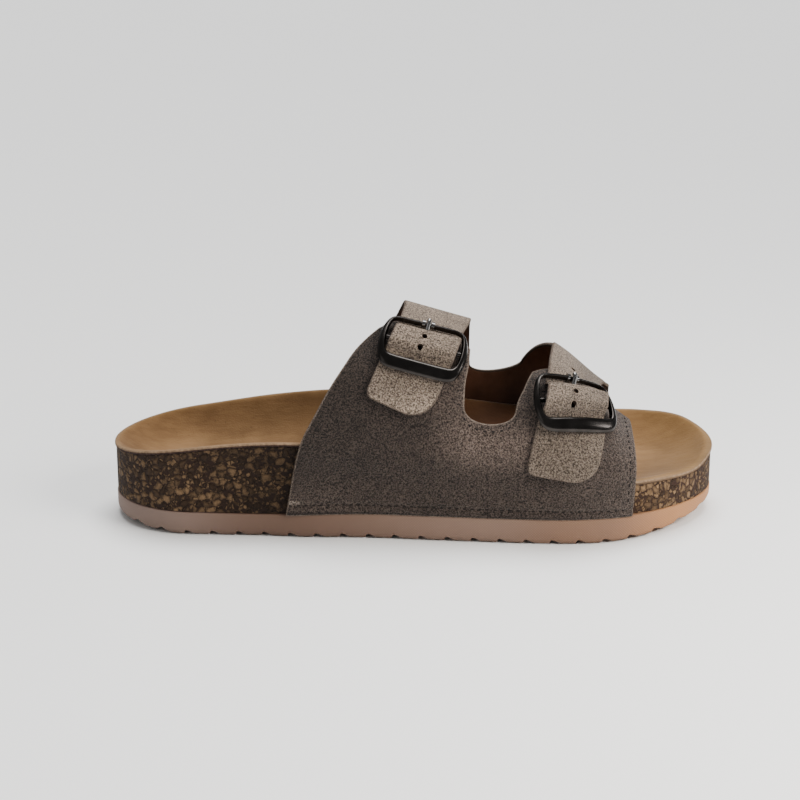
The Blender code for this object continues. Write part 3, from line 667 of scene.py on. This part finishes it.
def lining():
    """Smooth dark leather inside the upper."""
    finish = Finish("lining")
    grain = finish.cells(900)
    patches = finish.noise(60, 3)
    color = finish.blend(patches.between(0.3, 0.7), (0.026, 0.0095, 0.0046), (0.055, 0.0225, 0.0112))
    return finish.surface(color, 0.7, grain, 0.08, specular_ior_level=0.3)


def cut_edge():
    """Raw edge of the suede: fibres by its face, dark by the lining."""
    finish = Finish("cut_edge")
    fibre = finish.noise(1800, 2, 0.6).between(0.3, 0.7)
    color = finish.blend(fibre, (0.05, 0.037, 0.03), (0.19, 0.15, 0.12))
    color = finish.blend(finish.marked("wall").between(0.15, 0.5), (0.022, 0.014, 0.01), color)
    return finish.surface(color, 0.95, fibre, 0.2, specular_ior_level=0.15)


def liner_suede():
    """Tan suede: mottled and brushed, darker in the cup's walls, with painted shade under the straps, pale on
    the rim.
    """
    finish = Finish("liner_suede")
    rim, x = finish.marked("rim"), finish.axis("X")
    mottle = finish.noise(38, 4, 0.6).between(0.32, 0.68)
    brushed = finish.noise(240, 3, 0.65, finish.stretched(0.3, 1, 1)).between(0.3, 0.75)
    specks = finish.noise(620, 2, 0.6).between(0.64, 0.78)
    color = finish.layered(
        (0.115, 0.058, 0.02),
        (mottle, (0.19, 0.103, 0.042)),
        (brushed * 0.4, (0.25, 0.145, 0.06)),
        (rim.within(0.5, 0.8, 0.88, 0.96) * 0.35, (0.09, 0.043, 0.015)),
        # Painted shade under the straps, where the upper shadows the liner
        (x.within(-0.045, 0.0, 0.055, 0.085) * 0.75, (0.047, 0.0145, 0.0062)),
        (x.between(0.09, 0.12) * 0.3, (0.16, 0.085, 0.015)),
        (rim.between(0.94, 0.985) * 0.25, (0.26, 0.17, 0.09)),
        (specks * 0.4, (0.05, 0.025, 0.01)),
    )
    height = brushed * 0.4 + finish.noise(1500, 2) * 0.6
    sheen = {"sheen_weight": 0.08, "sheen_roughness": 0.5}
    return finish.surface(color, 0.9, height, 0.2, specular_ior_level=0.2, **sheen)


def liner_edge():
    """Trimmed side of the liner: pale where the suede turns over, mauve-brown below, paler at the toe."""
    finish = Finish("liner_edge")
    fibre = finish.noise(700, 3).between(0.3, 0.7)
    below = finish.blend(fibre, (0.02, 0.011, 0.009), (0.05, 0.029, 0.023))
    below = finish.blend(finish.axis("X").between(0.06, 0.1), below, (0.11, 0.07, 0.043))
    above = finish.blend(fibre, (0.16, 0.105, 0.065), (0.25, 0.17, 0.107))
    color = finish.blend(finish.marked("wall").between(0.4, 0.7), below, above)
    return finish.surface(color, 0.95, fibre, 0.15, specular_ior_level=0.2)


def cork():
    """Pressed cork: tan granules of two sizes in a dark binder, with painted shade past the heel and painted
    light at the toe.
    """
    finish = Finish("cork")
    places = finish.shifted(500, 0.0016)
    x = finish.axis("X")
    fibre = finish.noise(1300, 3, 0.6)
    color = finish.blend(fibre, (0.008, 0.004, 0.003), (0.04, 0.022, 0.015))
    height = fibre * 0.2
    for scale, kept in ((640, 0.35), (330, 0.3)):
        tone = finish.node("SeparateColor", {}, {0: finish.cells(scale, "F1", "Color", places)}, 0)
        edge = finish.cells(scale, "DISTANCE_TO_EDGE", "Distance", places)
        granule = (tone > kept) * edge.between(0.05, 0.1)
        tan = finish.blend(tone.between(kept, 1.0), (0.028, 0.016, 0.0095), (0.155, 0.095, 0.05))
        tan = finish.shade(tan, edge.between(0.05, 0.35) * 0.5 + fibre * 0.9 + 0.15)
        color = finish.blend(granule, color, tan)
        height = height * (1 - granule) + granule * (edge.between(0.05, 0.3) * 0.6 + fibre * 0.4)
    # Painted shade past the heel and painted light at the toe
    light = 0.88 - x.between(-0.1, -0.05) * 0.44 + x.between(0.05, 0.1) * 0.88
    return finish.surface(finish.shade(color, light), 0.85, height, 0.7, specular_ior_level=0.2)


def foam_rubber():
    """Pink-beige foam with painted light and shade along its length, greyer at the heel and brightest at the
    toe, finely hatched on its side and dusty in the ripples.
    """
    finish = Finish("foam_rubber")
    x = finish.axis("X")
    clouds = finish.noise(30, 3).between(0.35, 0.7)
    dust = finish.axis("Z").below(0.0004, 0.0024) * finish.noise(250, 3).between(0.35, 0.65)
    slant = finish.node("Mapping", {}, {"Vector": finish.places, "Rotation": (0, math.radians(45), 0)})
    hatch = finish.wave(slant, 400, "X") * finish.wave(slant, 400, "Z") * x.between(-0.06, 0.06)
    color = finish.layered(
        (0.2, 0.139, 0.112),
        # Painted light and shade along the sole: greyer at the heel, darker behind the middle, brightest and
        # oranger at the toe
        (x.between(-0.115, -0.06), (0.122, 0.072, 0.05)),
        (x.between(-0.05, 0.02), (0.187, 0.121, 0.09)),
        (x.between(0.03, 0.065), (0.182, 0.104, 0.066)),
        (x.between(0.075, 0.115), (0.37, 0.172, 0.068)),
        (clouds * 0.2, (0.12, 0.075, 0.058)),
        (dust * 0.4, (0.07, 0.045, 0.035)),
        (hatch * 0.16, (0.5, 0.3, 0.2)),
    )
    height = hatch * 0.7 + finish.noise(1200, 2) * 0.3
    return finish.surface(color, 0.65, height, 0.1, specular_ior_level=0.3)


def plated(name, color, gloss):
    """Plated metal with faint smudges."""
    finish = Finish(name)
    smudges = finish.noise(140, 3, 0.6)
    tone = finish.blend(smudges.between(0.35, 0.7), color, [value * 1.5 for value in color])
    return finish.surface(tone, gloss + smudges * 0.12, smudges, 0.01, metallic=1.0)


def thread():
    finish = Finish("thread")
    strand = finish.noise(3000, 2)
    color = finish.blend(strand, (0.006, 0.0045, 0.004), (0.02, 0.015, 0.013))
    return finish.surface(color, 0.8, strand, 0.1, specular_ior_level=0.3)


def pale_floor():
    finish = Finish("pale_floor")
    clouds = finish.noise(1.5, 2)
    color = finish.blend(clouds, (0.86, 0.86, 0.855), (0.89, 0.89, 0.885))
    return finish.surface(color, 0.9, specular_ior_level=0.1)


def sole_shift():
    """How far the sole's own middle line lies from the frame's, from the box of the cork's solid."""
    low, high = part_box("cork_midsole")
    at = np.arange(0.0, LENGTH + 1)
    middle = (edge_y(at, OUTER).min() + edge_y(at, INNER).max()) / 2
    return Vector((-LENGTH / 2, (low.y + high.y) / 2 / MM - middle, 0))


SHIFT = sole_shift()


def linked(name, data):
    """Object of a mesh, camera or light, in the scene."""
    thing = bpy.data.objects.new(name, data)
    bpy.context.scene.collection.objects.link(thing)
    return thing


def object_of(name, bm, finishes):
    mesh = bpy.data.meshes.new(name)
    bm.to_mesh(mesh)
    bm.free()
    for finish in finishes:
        mesh.materials.append(finish)
    return linked(name, mesh)


def in_frame(bm):
    """Moves a mesh from the sole's millimetres to the frame's metres."""
    bmesh.ops.translate(bm, verts=bm.verts, vec=SHIFT)
    bmesh.ops.scale(bm, verts=bm.verts, vec=(MM, MM, MM))
    return bm


def finished(name, bm, finishes, node=None):
    """Piece from a mesh in millimetres, riding on the sandal and standing for a node."""
    piece = object_of(name, in_frame(bm), finishes)
    piece.data.shade_smooth()
    piece.data.set_sharp_from_angle(angle=SHARP_ANGLE)
    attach(piece, "root")
    if node:
        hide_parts(node)
    return piece


def placed(middle, axes, sizes):
    """Matrix that puts a shape at a place, turned to three axes and stretched along them."""
    turn = Matrix(axes).transposed().to_4x4()
    return Matrix.Translation(Vector(middle)) @ turn @ Matrix.Diagonal((*sizes, 1))


def cell_grid(columns, rows):
    """Flat grid whose points lie at whole numbers of columns and rows."""
    bm = bmesh.new()
    bmesh.ops.create_grid(bm, x_segments=columns, y_segments=rows, size=0.5)
    bmesh.ops.translate(bm, verts=bm.verts, vec=(0.5, 0.5, 0))
    bmesh.ops.scale(bm, verts=bm.verts, vec=(columns, rows, 1))
    return bm


def cells_of(bm):
    """(columns, rows, levels) of a grid's points."""
    return np.round([vert.co for vert in bm.verts]).astype(int).T


def bend(bm, points):
    """Moves each point of a grid to its place on the sandal."""
    for vert, point in zip(bm.verts, points):
        vert.co = point


def mark(bm, name, values):
    """Gives each point of a mesh a number that its finish reads."""
    layer = bm.verts.layers.float.new(name)
    for vert, value in zip(bm.verts, values):
        vert[layer] = value


def wrapped(columns, rows, place, capped=False):
    """Closed tube: a grid bent so that its first and last rows meet, with its ends closed."""
    bm = cell_grid(columns, rows)
    bend(bm, place(*cells_of(bm)[:2]))
    bmesh.ops.remove_doubles(bm, verts=bm.verts, dist=WELD)
    if capped:
        bmesh.ops.holes_fill(bm, edges=[edge for edge in bm.edges if edge.is_boundary])
    bmesh.ops.recalc_face_normals(bm, faces=bm.faces)
    return bm


TOP, UNDERSIDE, CUT_EDGE = 0, 1, 2  # a sheet's finishes


def only(kind, items):
    return [item for item in items if isinstance(item, kind)]


def thick_sheet(bm, place, edge_round):
    """Gives a flat grid a wall with a round edge, and bends it by place(column, row, share of the wall)."""
    top = bm.faces[:]
    for step in range(EDGE_STEPS):
        raised = bmesh.ops.extrude_face_region(bm, geom=top)["geom"]
        if step:
            bmesh.ops.delete(bm, geom=top, context="FACES")
        top = only(bmesh.types.BMFace, raised)
        bmesh.ops.translate(bm, verts=only(bmesh.types.BMVert, raised), vec=(0, 0, 1))
    for face in bm.faces:
        level = round(face.calc_center_median().z, 1)
        face.material_index = {0: UNDERSIDE, EDGE_STEPS: TOP}.get(level, CUT_EDGE)
    column, row, level = cells_of(bm)
    share = ease_round(level / EDGE_STEPS)
    mark(bm, "wall", share)
    bend(bm, place(column, row, share))
    bmesh.ops.remove_doubles(bm, verts=bm.verts, dist=WELD)
    bmesh.ops.recalc_face_normals(bm, faces=bm.faces)
    wall = bm.verts.layers.float["wall"]
    for vert in bm.verts:
        vert.co += vert.normal * edge_round * 2 * math.sqrt(max(0, vert[wall] * (1 - vert[wall])))
    return bm


def legged_grid(side, gap, base_rows, leg_rows):
    """Flat grid of a base with two legs, each as many columns broad as side, and a gap between them."""
    bm = cell_grid(2 * side + gap, base_rows + leg_rows)
    middles = [(face, face.calc_center_median()) for face in bm.faces]
    gone = [face for face, middle in middles if side < middle.x < side + gap and middle.y > base_rows]
    bmesh.ops.delete(bm, geom=gone, context="FACES")
    return bm


def sole_stations(step):
    """Distances from the heel that sections are taken at, closer together at both ends."""
    ends = END_LENGTH * (np.arange(END_STEPS) / END_STEPS) ** 2
    middle = np.linspace(END_LENGTH, LENGTH - END_LENGTH, round((LENGTH - 2 * END_LENGTH) / step) + 1)
    return np.concatenate([ends, middle, LENGTH - ends[::-1]])


def bed_across():
    return np.sin(np.pi * (np.arange(BED_COLUMNS + 1) / BED_COLUMNS - 0.5))


def foam_sole():
    """Foam slab with a ledge under the upper, a round lower edge and ripples across its tread."""
    stations = sole_stations(RIPPLE_PITCH / RIPPLE_STEPS)
    turns = np.linspace(0, np.pi / 2, LOWER_EDGE_STEPS + 1)
    profile = [(LOWER_EDGE * (1 - math.sin(t)), LOWER_EDGE * (1 - math.cos(t)), 0) for t in turns]
    for t in turns[:: LOWER_EDGE_STEPS // TOP_EDGE_STEPS]:
        profile.append((TOP_EDGE * (1 - math.cos(t)), -TOP_EDGE * (1 - math.sin(t)), 1))
    corners = [(OUTER, *row) for row in profile] + [(INNER, *row) for row in profile[::-1]]
    corners.append(corners[0])
    side, inset, height, top = (np.array(values, float) for values in zip(*corners))

    def place(column, row):
        at = stations[column]
        ledge = LEDGE * ease(*LEDGE_ENDS[:2], at) * (1 - ease(*LEDGE_ENDS[2:], at))
        floor = np.maximum(0, curve(SOLE, "floor", at))
        from_end = LOWER_EDGE - np.minimum(np.minimum(at, LENGTH - at), LOWER_EDGE)
        end_rise = LOWER_EDGE - np.sqrt(LOWER_EDGE**2 - from_end**2)
        low = floor + np.maximum(np.maximum(height[row], end_rise), ripple(at))
        z = np.where(top[row] > 0, curve(SOLE, "wedge", at) + height[row], low)
        outer, inner = (edge_y(at, edge, ledge - inset[row]) for edge in (OUTER, INNER))
        return np.stack([at, np.where(side[row] == OUTER, outer, inner), z], axis=1)

    bm = wrapped(len(stations) - 1, len(corners) - 1, place)
    finished("foam_sole", bm, [foam_rubber()], "outsole")


def cork_block():
    """Cork between the sole and the liner."""
    stations = sole_stations(BED_STEP)
    across = bed_across()
    rise = np.linspace(0, 1, WALL_ROWS + 1)
    end = 2 * WALL_ROWS + BED_COLUMNS

    def place(column, row):
        """Up the outer wall, across the top, down the inner wall and back to the start."""
        at, side = stations[column], across[np.clip(row - WALL_ROWS, 0, BED_COLUMNS)]
        base = curve(SOLE, "wedge", at) + GAP
        top = bed_z(at, side) - LINER - GAP
        outer, inner = edge_y(at, OUTER, -CORK_INSET), edge_y(at, INNER, -CORK_INSET)
        y = np.where(row > end, outer, mix(outer, inner, (side + 1) / 2))
        wall = rise[np.clip(np.minimum(row, end - row), 0, WALL_ROWS)]
        return np.stack([at, y, mix(base, top, wall)], axis=1)

    bm = wrapped(len(stations) - 1, end + 1, place)
    finished("cork_block", bm, [cork()], "cork_midsole")


def moulded_liner():
    """Liner with a heel cup, an arch, a toe bar and a round rim."""
    stations = sole_stations(BED_STEP)
    across = bed_across()

    def measure(column, row):
        return stations[column], across[row]

    def place(column, row, wall):
        at, side = measure(column, row)
        y = mix(edge_y(at, OUTER), edge_y(at, INNER), (side + 1) / 2)
        return np.stack([at, y, bed_z(at, side) - LINER * (1 - wall)], axis=1)

    bm = cell_grid(len(stations) - 1, BED_COLUMNS)
    mark(bm, "rim", bed_measure(*measure(*cells_of(bm)[:2])))
    thick_sheet(bm, place, LINER_EDGE_ROUND)
    edge = liner_edge()
    finished("moulded_liner", bm, [liner_suede(), edge, edge], "footbed")


def panel_place(column, row):
    """(at, share) of points of the outer panel's grid."""
    side, gap = PANEL_SIDE_COLUMNS, PANEL_GAP_COLUMNS
    in_front = column >= side + gap
    across = np.where(in_front, column - side - gap, column) / side
    top = np.where(in_front, mix(*FRONT_LEG_TOP, across), mix(*BACK_LEG_TOP, across))
    top = top + LEG_CROWN * (1 - (2 * across - 1) ** LEG_CROWN_POWER)
    over_gap = np.clip((column - side) / gap, 0, 1)
    base_top = mix(GAP_LEVEL, GAP_BOTTOM, np.abs(np.sin(np.pi * over_gap)) ** GAP_ROUND)
    base = base_top * (np.minimum(row, PANEL_BASE_ROWS) / PANEL_BASE_ROWS) ** PANEL_ROW_POWER
    leg = mix(GAP_LEVEL, top, (row - PANEL_BASE_ROWS) / PANEL_LEG_ROWS)
    share = np.where(row <= PANEL_BASE_ROWS, base, leg)
    back, gap_back, gap_front, front = (curve(OUTER_PANEL, name, share) for name in PANEL_EDGES.split())
    at = np.where(in_front, mix(gap_front, front, across), mix(gap_back, gap_front, ease_round(over_gap)))
    return np.where(column <= side, mix(back, gap_back, across), at), share


def creased(at, share):
    """How far the creases lift the outer panel."""
    lift = np.zeros_like(at)
    for crease in CREASES:
        run = np.array((crease.to_at - crease.at, (crease.to_share - crease.share) * ROUND_LAST))
        place = np.stack([at - crease.at, (share - crease.share) * ROUND_LAST], axis=-1)
        along = np.clip(place @ run / (run @ run), 0, 1)
        away = np.linalg.norm(place - along[..., None] * run, axis=-1)
        lift = lift + crease.height * np.exp(-((away / crease.width) ** 2))
    return lift


def outer_panel(finishes):
    """Panel on the outer side with a leg under each buckle and a round gap between the legs."""

    def place(column, row, wall):
        at, share = panel_place(column, row)
        trough = TROUGH_DEPTH * np.exp(-(((share * ROUND_LAST - STITCH_RISE) / TROUGH_WIDTH) ** 2))
        return on_last(at, share, creased(at, share) + (PANEL_WALL - trough) * wall)

    bm = legged_grid(PANEL_SIDE_COLUMNS, PANEL_GAP_COLUMNS, PANEL_BASE_ROWS, PANEL_LEG_ROWS)
    thick_sheet(bm, place, CUT_EDGE_ROUND)
    finished("outer_panel", bm, finishes, "upper")


def inner_panel_and_straps(finishes):
    """Panel on the inner side that runs on into the two straps, over the foot and through the buckles."""
    side, gap = STRAP_COLUMNS, INNER_GAP_COLUMNS
    tops = {name: strap_rows(strap) for name, strap in STRAPS.items()}

    def strap_end(strap, across):
        start = strap[-1].along
        return strap_place(strap, strap_across(strap, start, across), start)

    def place(column, row, wall):
        over_gap = np.clip((column - side) / gap, 0, 1)
        turn = ease_round(over_gap)
        (at0, share0), (at1, share1) = strap_end(BACK_STRAP, 1), strap_end(FRONT_STRAP, 0)
        top_at = mix(at0, at1, turn)
        top_share = mix(share0, share1, turn) + INNER_GAP_DIP * np.sin(np.pi * over_gap)
        foot = mix(INNER_FOOT.gap_back, INNER_FOOT.gap_front, turn)
        points = np.zeros((len(column), 3))
        for name, low, ends in (("back", 0, INNER_FOOT[:2]), ("front", side + gap, INNER_FOOT[2:])):
            strap, rows = STRAPS[name], tops[name]
            here = (column >= low) & (column <= low + side)
            across = np.clip((column - low) / side, 0, 1)
            end_at, end_share = strap_end(strap, across)
            top_at, top_share = np.where(here, end_at, top_at), np.where(here, end_share, top_share)
            foot = np.where(here, mix(*ends, across), foot)
            along = rows[np.clip(row - INNER_ROWS, 0, len(rows) - 1)]
            on_top = strap_point(name, strap_across(strap, along, across), along, wall)
            points = np.where(here[:, None], on_top, points)
        rise = np.clip(row / INNER_ROWS, 0, 1)
        on_panel = on_last(mix(foot, top_at, rise**INNER_LEAN), mix(1, top_share, rise), STRAP_WALL * wall)
        between = (column > side) & (column < side + gap)
        return np.where(((row < INNER_ROWS) | between)[:, None], on_panel, points)

    bm = legged_grid(side, gap, INNER_ROWS, len(tops["back"]) - 1)
    thick_sheet(bm, place, CUT_EDGE_ROUND)
    piece = finished("inner_panel_and_straps", bm, finishes, "upper")
    punch(piece)


def hole_place(name, across, along, stretch):
    """Place of a hole through a strap, stretched along it."""
    low, high = (strap_point(name, across, along, face) for face in (0, 1))
    ahead = strap_point(name, across + 1, along, 1) - high
    axis = Vector(high - low).normalized()
    up = axis.cross(Vector(ahead)).normalized()
    return placed((low + high) / 2, (up.cross(axis), up, axis), (1, stretch, 1))


def punch(piece):
    """Cuts the round holes along both straps, and the prongs' slots."""
    bm = bmesh.new()
    size = {"radius1": HOLE_RADIUS, "radius2": HOLE_RADIUS, "depth": HOLE_DEPTH, "segments": ROUND_STEPS}
    for name in STRAPS:
        holes = [(HOLE_ACROSS[name], along, 1) for along in HOLES[name]]
        slot, aslant = sum(SLOT) / 2, BUCKLE_TURN[name]
        stretch = (SLOT[1] - SLOT[0]) / 2 / HOLE_RADIUS
        holes.append((-slot * math.sin(aslant), slot / math.cos(aslant), stretch))
        for hole in holes:
            bmesh.ops.create_cone(bm, cap_ends=True, matrix=hole_place(name, *hole), **size)
    punches = object_of("punches", in_frame(bm), [piece.data.materials[CUT_EDGE]])
    cut = piece.modifiers.new("holes", "BOOLEAN")
    cut.operation = "DIFFERENCE"
    cut.object = punches
    bpy.context.view_layer.update()
    whole = piece.evaluated_get(bpy.context.evaluated_depsgraph_get())
    piece.data = bpy.data.meshes.new_from_object(whole)
    piece.modifiers.clear()
    bpy.data.objects.remove(punches)


def turn_of(step):
    """Angle of a step round a rod or an eye."""
    return 2 * np.pi * step / ROUND_STEPS


def rod(name, low, high, radius, steps, lift, along=0.0):
    """Round rod across a buckle."""
    places = np.linspace(low, high, steps + 1)

    def place(column, row):
        turn = turn_of(row)
        return on_buckle(name, places[column], along + radius * np.cos(turn), lift + radius * np.sin(turn))

    return wrapped(steps, ROUND_STEPS, place, capped=True)


def joined(meshes):
    """One mesh from several."""
    whole = bmesh.new()
    for bm in meshes:
        part = bpy.data.meshes.new("part")
        bm.to_mesh(part)
        bm.free()
        whole.from_mesh(part)
        bpy.data.meshes.remove(part)
    return whole


def bar_loop(name, side):
    """Rolled loop over a centre bar, with its two ends in the panel's wall."""
    low, high = LOOP_SPAN
    turns = np.linspace(0, np.pi, ROUND_STEPS // 2)
    alongs = np.concatenate([LOOP_RADIUS * np.cos(turns), [-LOOP_RADIUS, LOOP_RADIUS]])
    lifts = np.concatenate([BAR_LIFT + LOOP_RADIUS * np.sin(turns), [LOOP_ROOT, LOOP_ROOT]])

    def place(column, row):
        k = row % len(alongs)
        across, along, lift = side * mix(low, high, column / ROUND_STEPS), alongs[k], lifts[k]
        root = on_strap(STRAPS[name], *turned(name, across, along), lift)
        return np.where((k >= len(turns))[:, None], root, on_buckle(name, across, along, lift))

    return wrapped(ROUND_STEPS, len(alongs), place, capped=True)


def bar_loops(finishes):
    """The rolled loops of the outer panel that hold the buckles' centre bars."""
    bm = joined(bar_loop(name, side) for name in STRAPS for side in (HEELWARD, TOEWARD))
    finished("bar_loops", bm, finishes[:1])


def outline(ring, turn):
    """(across, along) at angles on a rounded rectangle with bowed sides."""
    c, s = np.cos(turn), np.sin(turn)
    aside = np.sign(c) * np.abs(c) ** (2 / ring.squareness)
    rise = np.sign(s) * np.abs(s) ** (2 / ring.squareness)
    return ring.half_width * (1 - ring.bow * rise**2) * aside, mix(ring.bottom, ring.top, (1 + rise) / 2)


def rounded(corners):
    """Closed outline whose corners are cut again and again until they are round."""
    points, share = np.array(corners, float), RING_CORNER_SHARE
    for _ in range(RING_CORNER_CUTS):
        after = np.roll(points, -1, axis=0)
        points = np.stack([mix(points, after, share), mix(after, points, share)], axis=1).reshape(-1, 2)
    return points


def buckle_ring(name):
    """Frame of a buckle: thin at the top, broad at the bottom, with bowed sides."""
    section = rounded(RING_SECTION)
    turns = np.linspace(0, 2 * np.pi, RING_FINENESS * RING_STEPS)
    lengths = run_lengths(np.stack(outline(RING_OUTER, turns), axis=1))
    turns = np.interp(np.linspace(0, lengths[-1], RING_STEPS + 1), lengths, turns)

    def place(column, row):
        share, lift = section[row % len(section)].T
        turn = turns[column % RING_STEPS]
        near, far = outline(RING_INNER, turn), outline(RING_OUTER, turn)
        return on_buckle(name, mix(near[0], far[0], share), mix(near[1], far[1], share), lift)

    return wrapped(RING_STEPS, len(section), place)


def buckle_frame(name, metals):
    """Ring with its centre bar and two collars of the second metal."""
    meshes = [buckle_ring(name), rod(name, -BAR_REACH, BAR_REACH, BAR_RADIUS, BAR_STEPS, BAR_LIFT)]
    for place in COLLAR_PLACES:
        ends = (place - COLLAR_HALF, place + COLLAR_HALF)
        collar = rod(name, *ends, COLLAR_RADIUS, COLLAR_STEPS, COLLAR_LIFT, COLLAR_ALONG)
        for face in collar.faces:
            face.material_index = 1
        meshes.append(collar)
    finished(f"{name}_frame", joined(meshes), metals, f"{name}_buckle_frame")


def buckle_prong(name, metal):
    """Prong with its eye round the centre bar."""
    low, high = EYE_RADII
    steps = np.linspace(0, PRONG[-1].step, PRONG_STEPS + 1)
    alongs, lifts = curve(PRONG, "along", steps), curve(PRONG, "lift", steps)

    def eye(column, row):
        turn, section = turn_of(column), turn_of(row)
        radius = (low + high) / 2 + (high - low) / 2 * np.cos(section)
        across = EYE_HALF_WIDTH * np.sin(section)
        return on_buckle(name, across, radius * np.cos(turn), BAR_LIFT + radius * np.sin(turn))

    def pin(column, row):
        across, rise = PRONG_RADIUS * np.cos(turn_of(row)), PRONG_RADIUS * np.sin(turn_of(row))
        return on_buckle(name, across, alongs[column], lifts[column] + rise)

    pieces = [wrapped(ROUND_STEPS, ROUND_STEPS, eye), wrapped(PRONG_STEPS, ROUND_STEPS, pin, capped=True)]
    finished(f"{name}_prong", joined(pieces), [metal], f"{name}_buckle_prong")


def stitch_row(bm, at, share, lift):
    """Stitches a pitch apart along a line on the last."""
    points, normals = on_last(at, share, lift), on_grid(LAST_NORMALS, at, share)
    lengths = run_lengths(points)
    count = int(lengths[-1] / STITCH_PITCH)

    def at_length(values, length):
        return np.array([np.interp(length, lengths, column) for column in values.T])

    for k in range(count):
        middle = (k + 0.5) * lengths[-1] / count
        here, ahead = (at_length(points, middle + step) for step in (-STITCH_REACH, STITCH_REACH))
        run = Vector(ahead - here).normalized()
        side = Vector(at_length(normals, middle)).normalized().cross(run).normalized()
        place = placed((here + ahead) / 2, (run, side, run.cross(side)), STITCH_SIZE)
        bmesh.ops.create_icosphere(bm, subdivisions=1, radius=1, matrix=place)


def stitches():
    """Rows of thread along the edges of both panels."""
    bm = bmesh.new()
    rise = STITCH_RISE / ROUND_LAST

    def outer_row(at, share, depth=0.0):
        stitch_row(bm, at, share, creased(at, share) + PANEL_WALL - depth + STITCH_LIFT)

    low_back, low_front = curve(OUTER_PANEL, "back", rise), curve(OUTER_PANEL, "front", rise)
    at = np.linspace(low_back + STITCH_INSET, low_front - STITCH_INSET, FOOT_POINTS)
    outer_row(at, np.full_like(at, rise), TROUGH_DEPTH)
    share = np.linspace(rise + STITCH_CORNER, FRONT_LEG_TOP[1], FRONT_POINTS)
    outer_row(curve(OUTER_PANEL, "front", share) - STITCH_INSET, share)
    ends = (PANEL_SIDE_COLUMNS + GAP_MARGIN, PANEL_SIDE_COLUMNS + PANEL_GAP_COLUMNS - GAP_MARGIN)
    column = np.linspace(*ends, GAP_POINTS)
    at, share = panel_place(column, np.full_like(column, PANEL_BASE_ROWS))
    outer_row(at, share - STITCH_INSET / ROUND_LAST)
    at = np.linspace(INNER_FOOT.back + STITCH_INSET, INNER_FOOT.front - STITCH_INSET, FOOT_POINTS)
    stitch_row(bm, at, np.full_like(at, 1 - rise), STRAP_WALL + STITCH_LIFT)
    finished("stitches", bm, [thread()])


def floor():
    bm = bmesh.new()
    bmesh.ops.create_grid(bm, x_segments=2, y_segments=2, size=FLOOR_SIZE / 2)
    plane = object_of("floor", bm, [pale_floor()])


def camera():
    data = bpy.data.cameras.new("camera")
    data.lens = CAMERA_LENS
    data.clip_start = CAMERA_CLIP
    view = linked("camera", data)
    back = Vector((0, -math.cos(CAMERA_TILT), math.sin(CAMERA_TILT)))
    view.location = CAMERA_TARGET + back * CAMERA_DISTANCE
    view.rotation_euler = (math.pi / 2 - CAMERA_TILT, 0, 0)
    bpy.context.scene.camera = view


def lights():
    """Lights that face the sandal, and the studio round it. Metal doesn't mirror the key."""
    for name, kind, place, settings in LIGHTS:
        data = bpy.data.lights.new(name, kind)
        for key, value in settings.items():
            setattr(data, key, value)
        lamp = linked(name, data)
        lamp.location = place
        lamp.rotation_euler = (CAMERA_TARGET - Vector(place)).to_track_quat("-Z", "Y").to_euler()
        lamp.visible_glossy = name != "key"
    world = bpy.data.worlds.new("studio")
    world.use_nodes = True
    background = world.node_tree.nodes["Background"]
    background.inputs["Color"].default_value = (1, 1, 1, 1)
    background.inputs["Strength"].default_value = STUDIO_STRENGTH
    bpy.context.scene.world = world


floor()
camera()
lights()
foam_sole()
cork_block()
moulded_liner()
panel_finishes = [panel_suede(), lining(), cut_edge()]
strap_finishes = [strap_suede(), *panel_finishes[1:]]
outer_panel(panel_finishes)
inner_panel_and_straps(strap_finishes)
bar_loops(panel_finishes)
gunmetal = plated("gunmetal", (0.03, 0.027, 0.025), 0.15)
bright_steel = plated("bright_steel", (0.15, 0.146, 0.142), 0.1)
for strap_name in STRAPS:
    buckle_frame(strap_name, [gunmetal, bright_steel])
    buckle_prong(strap_name, bright_steel)
stitches()
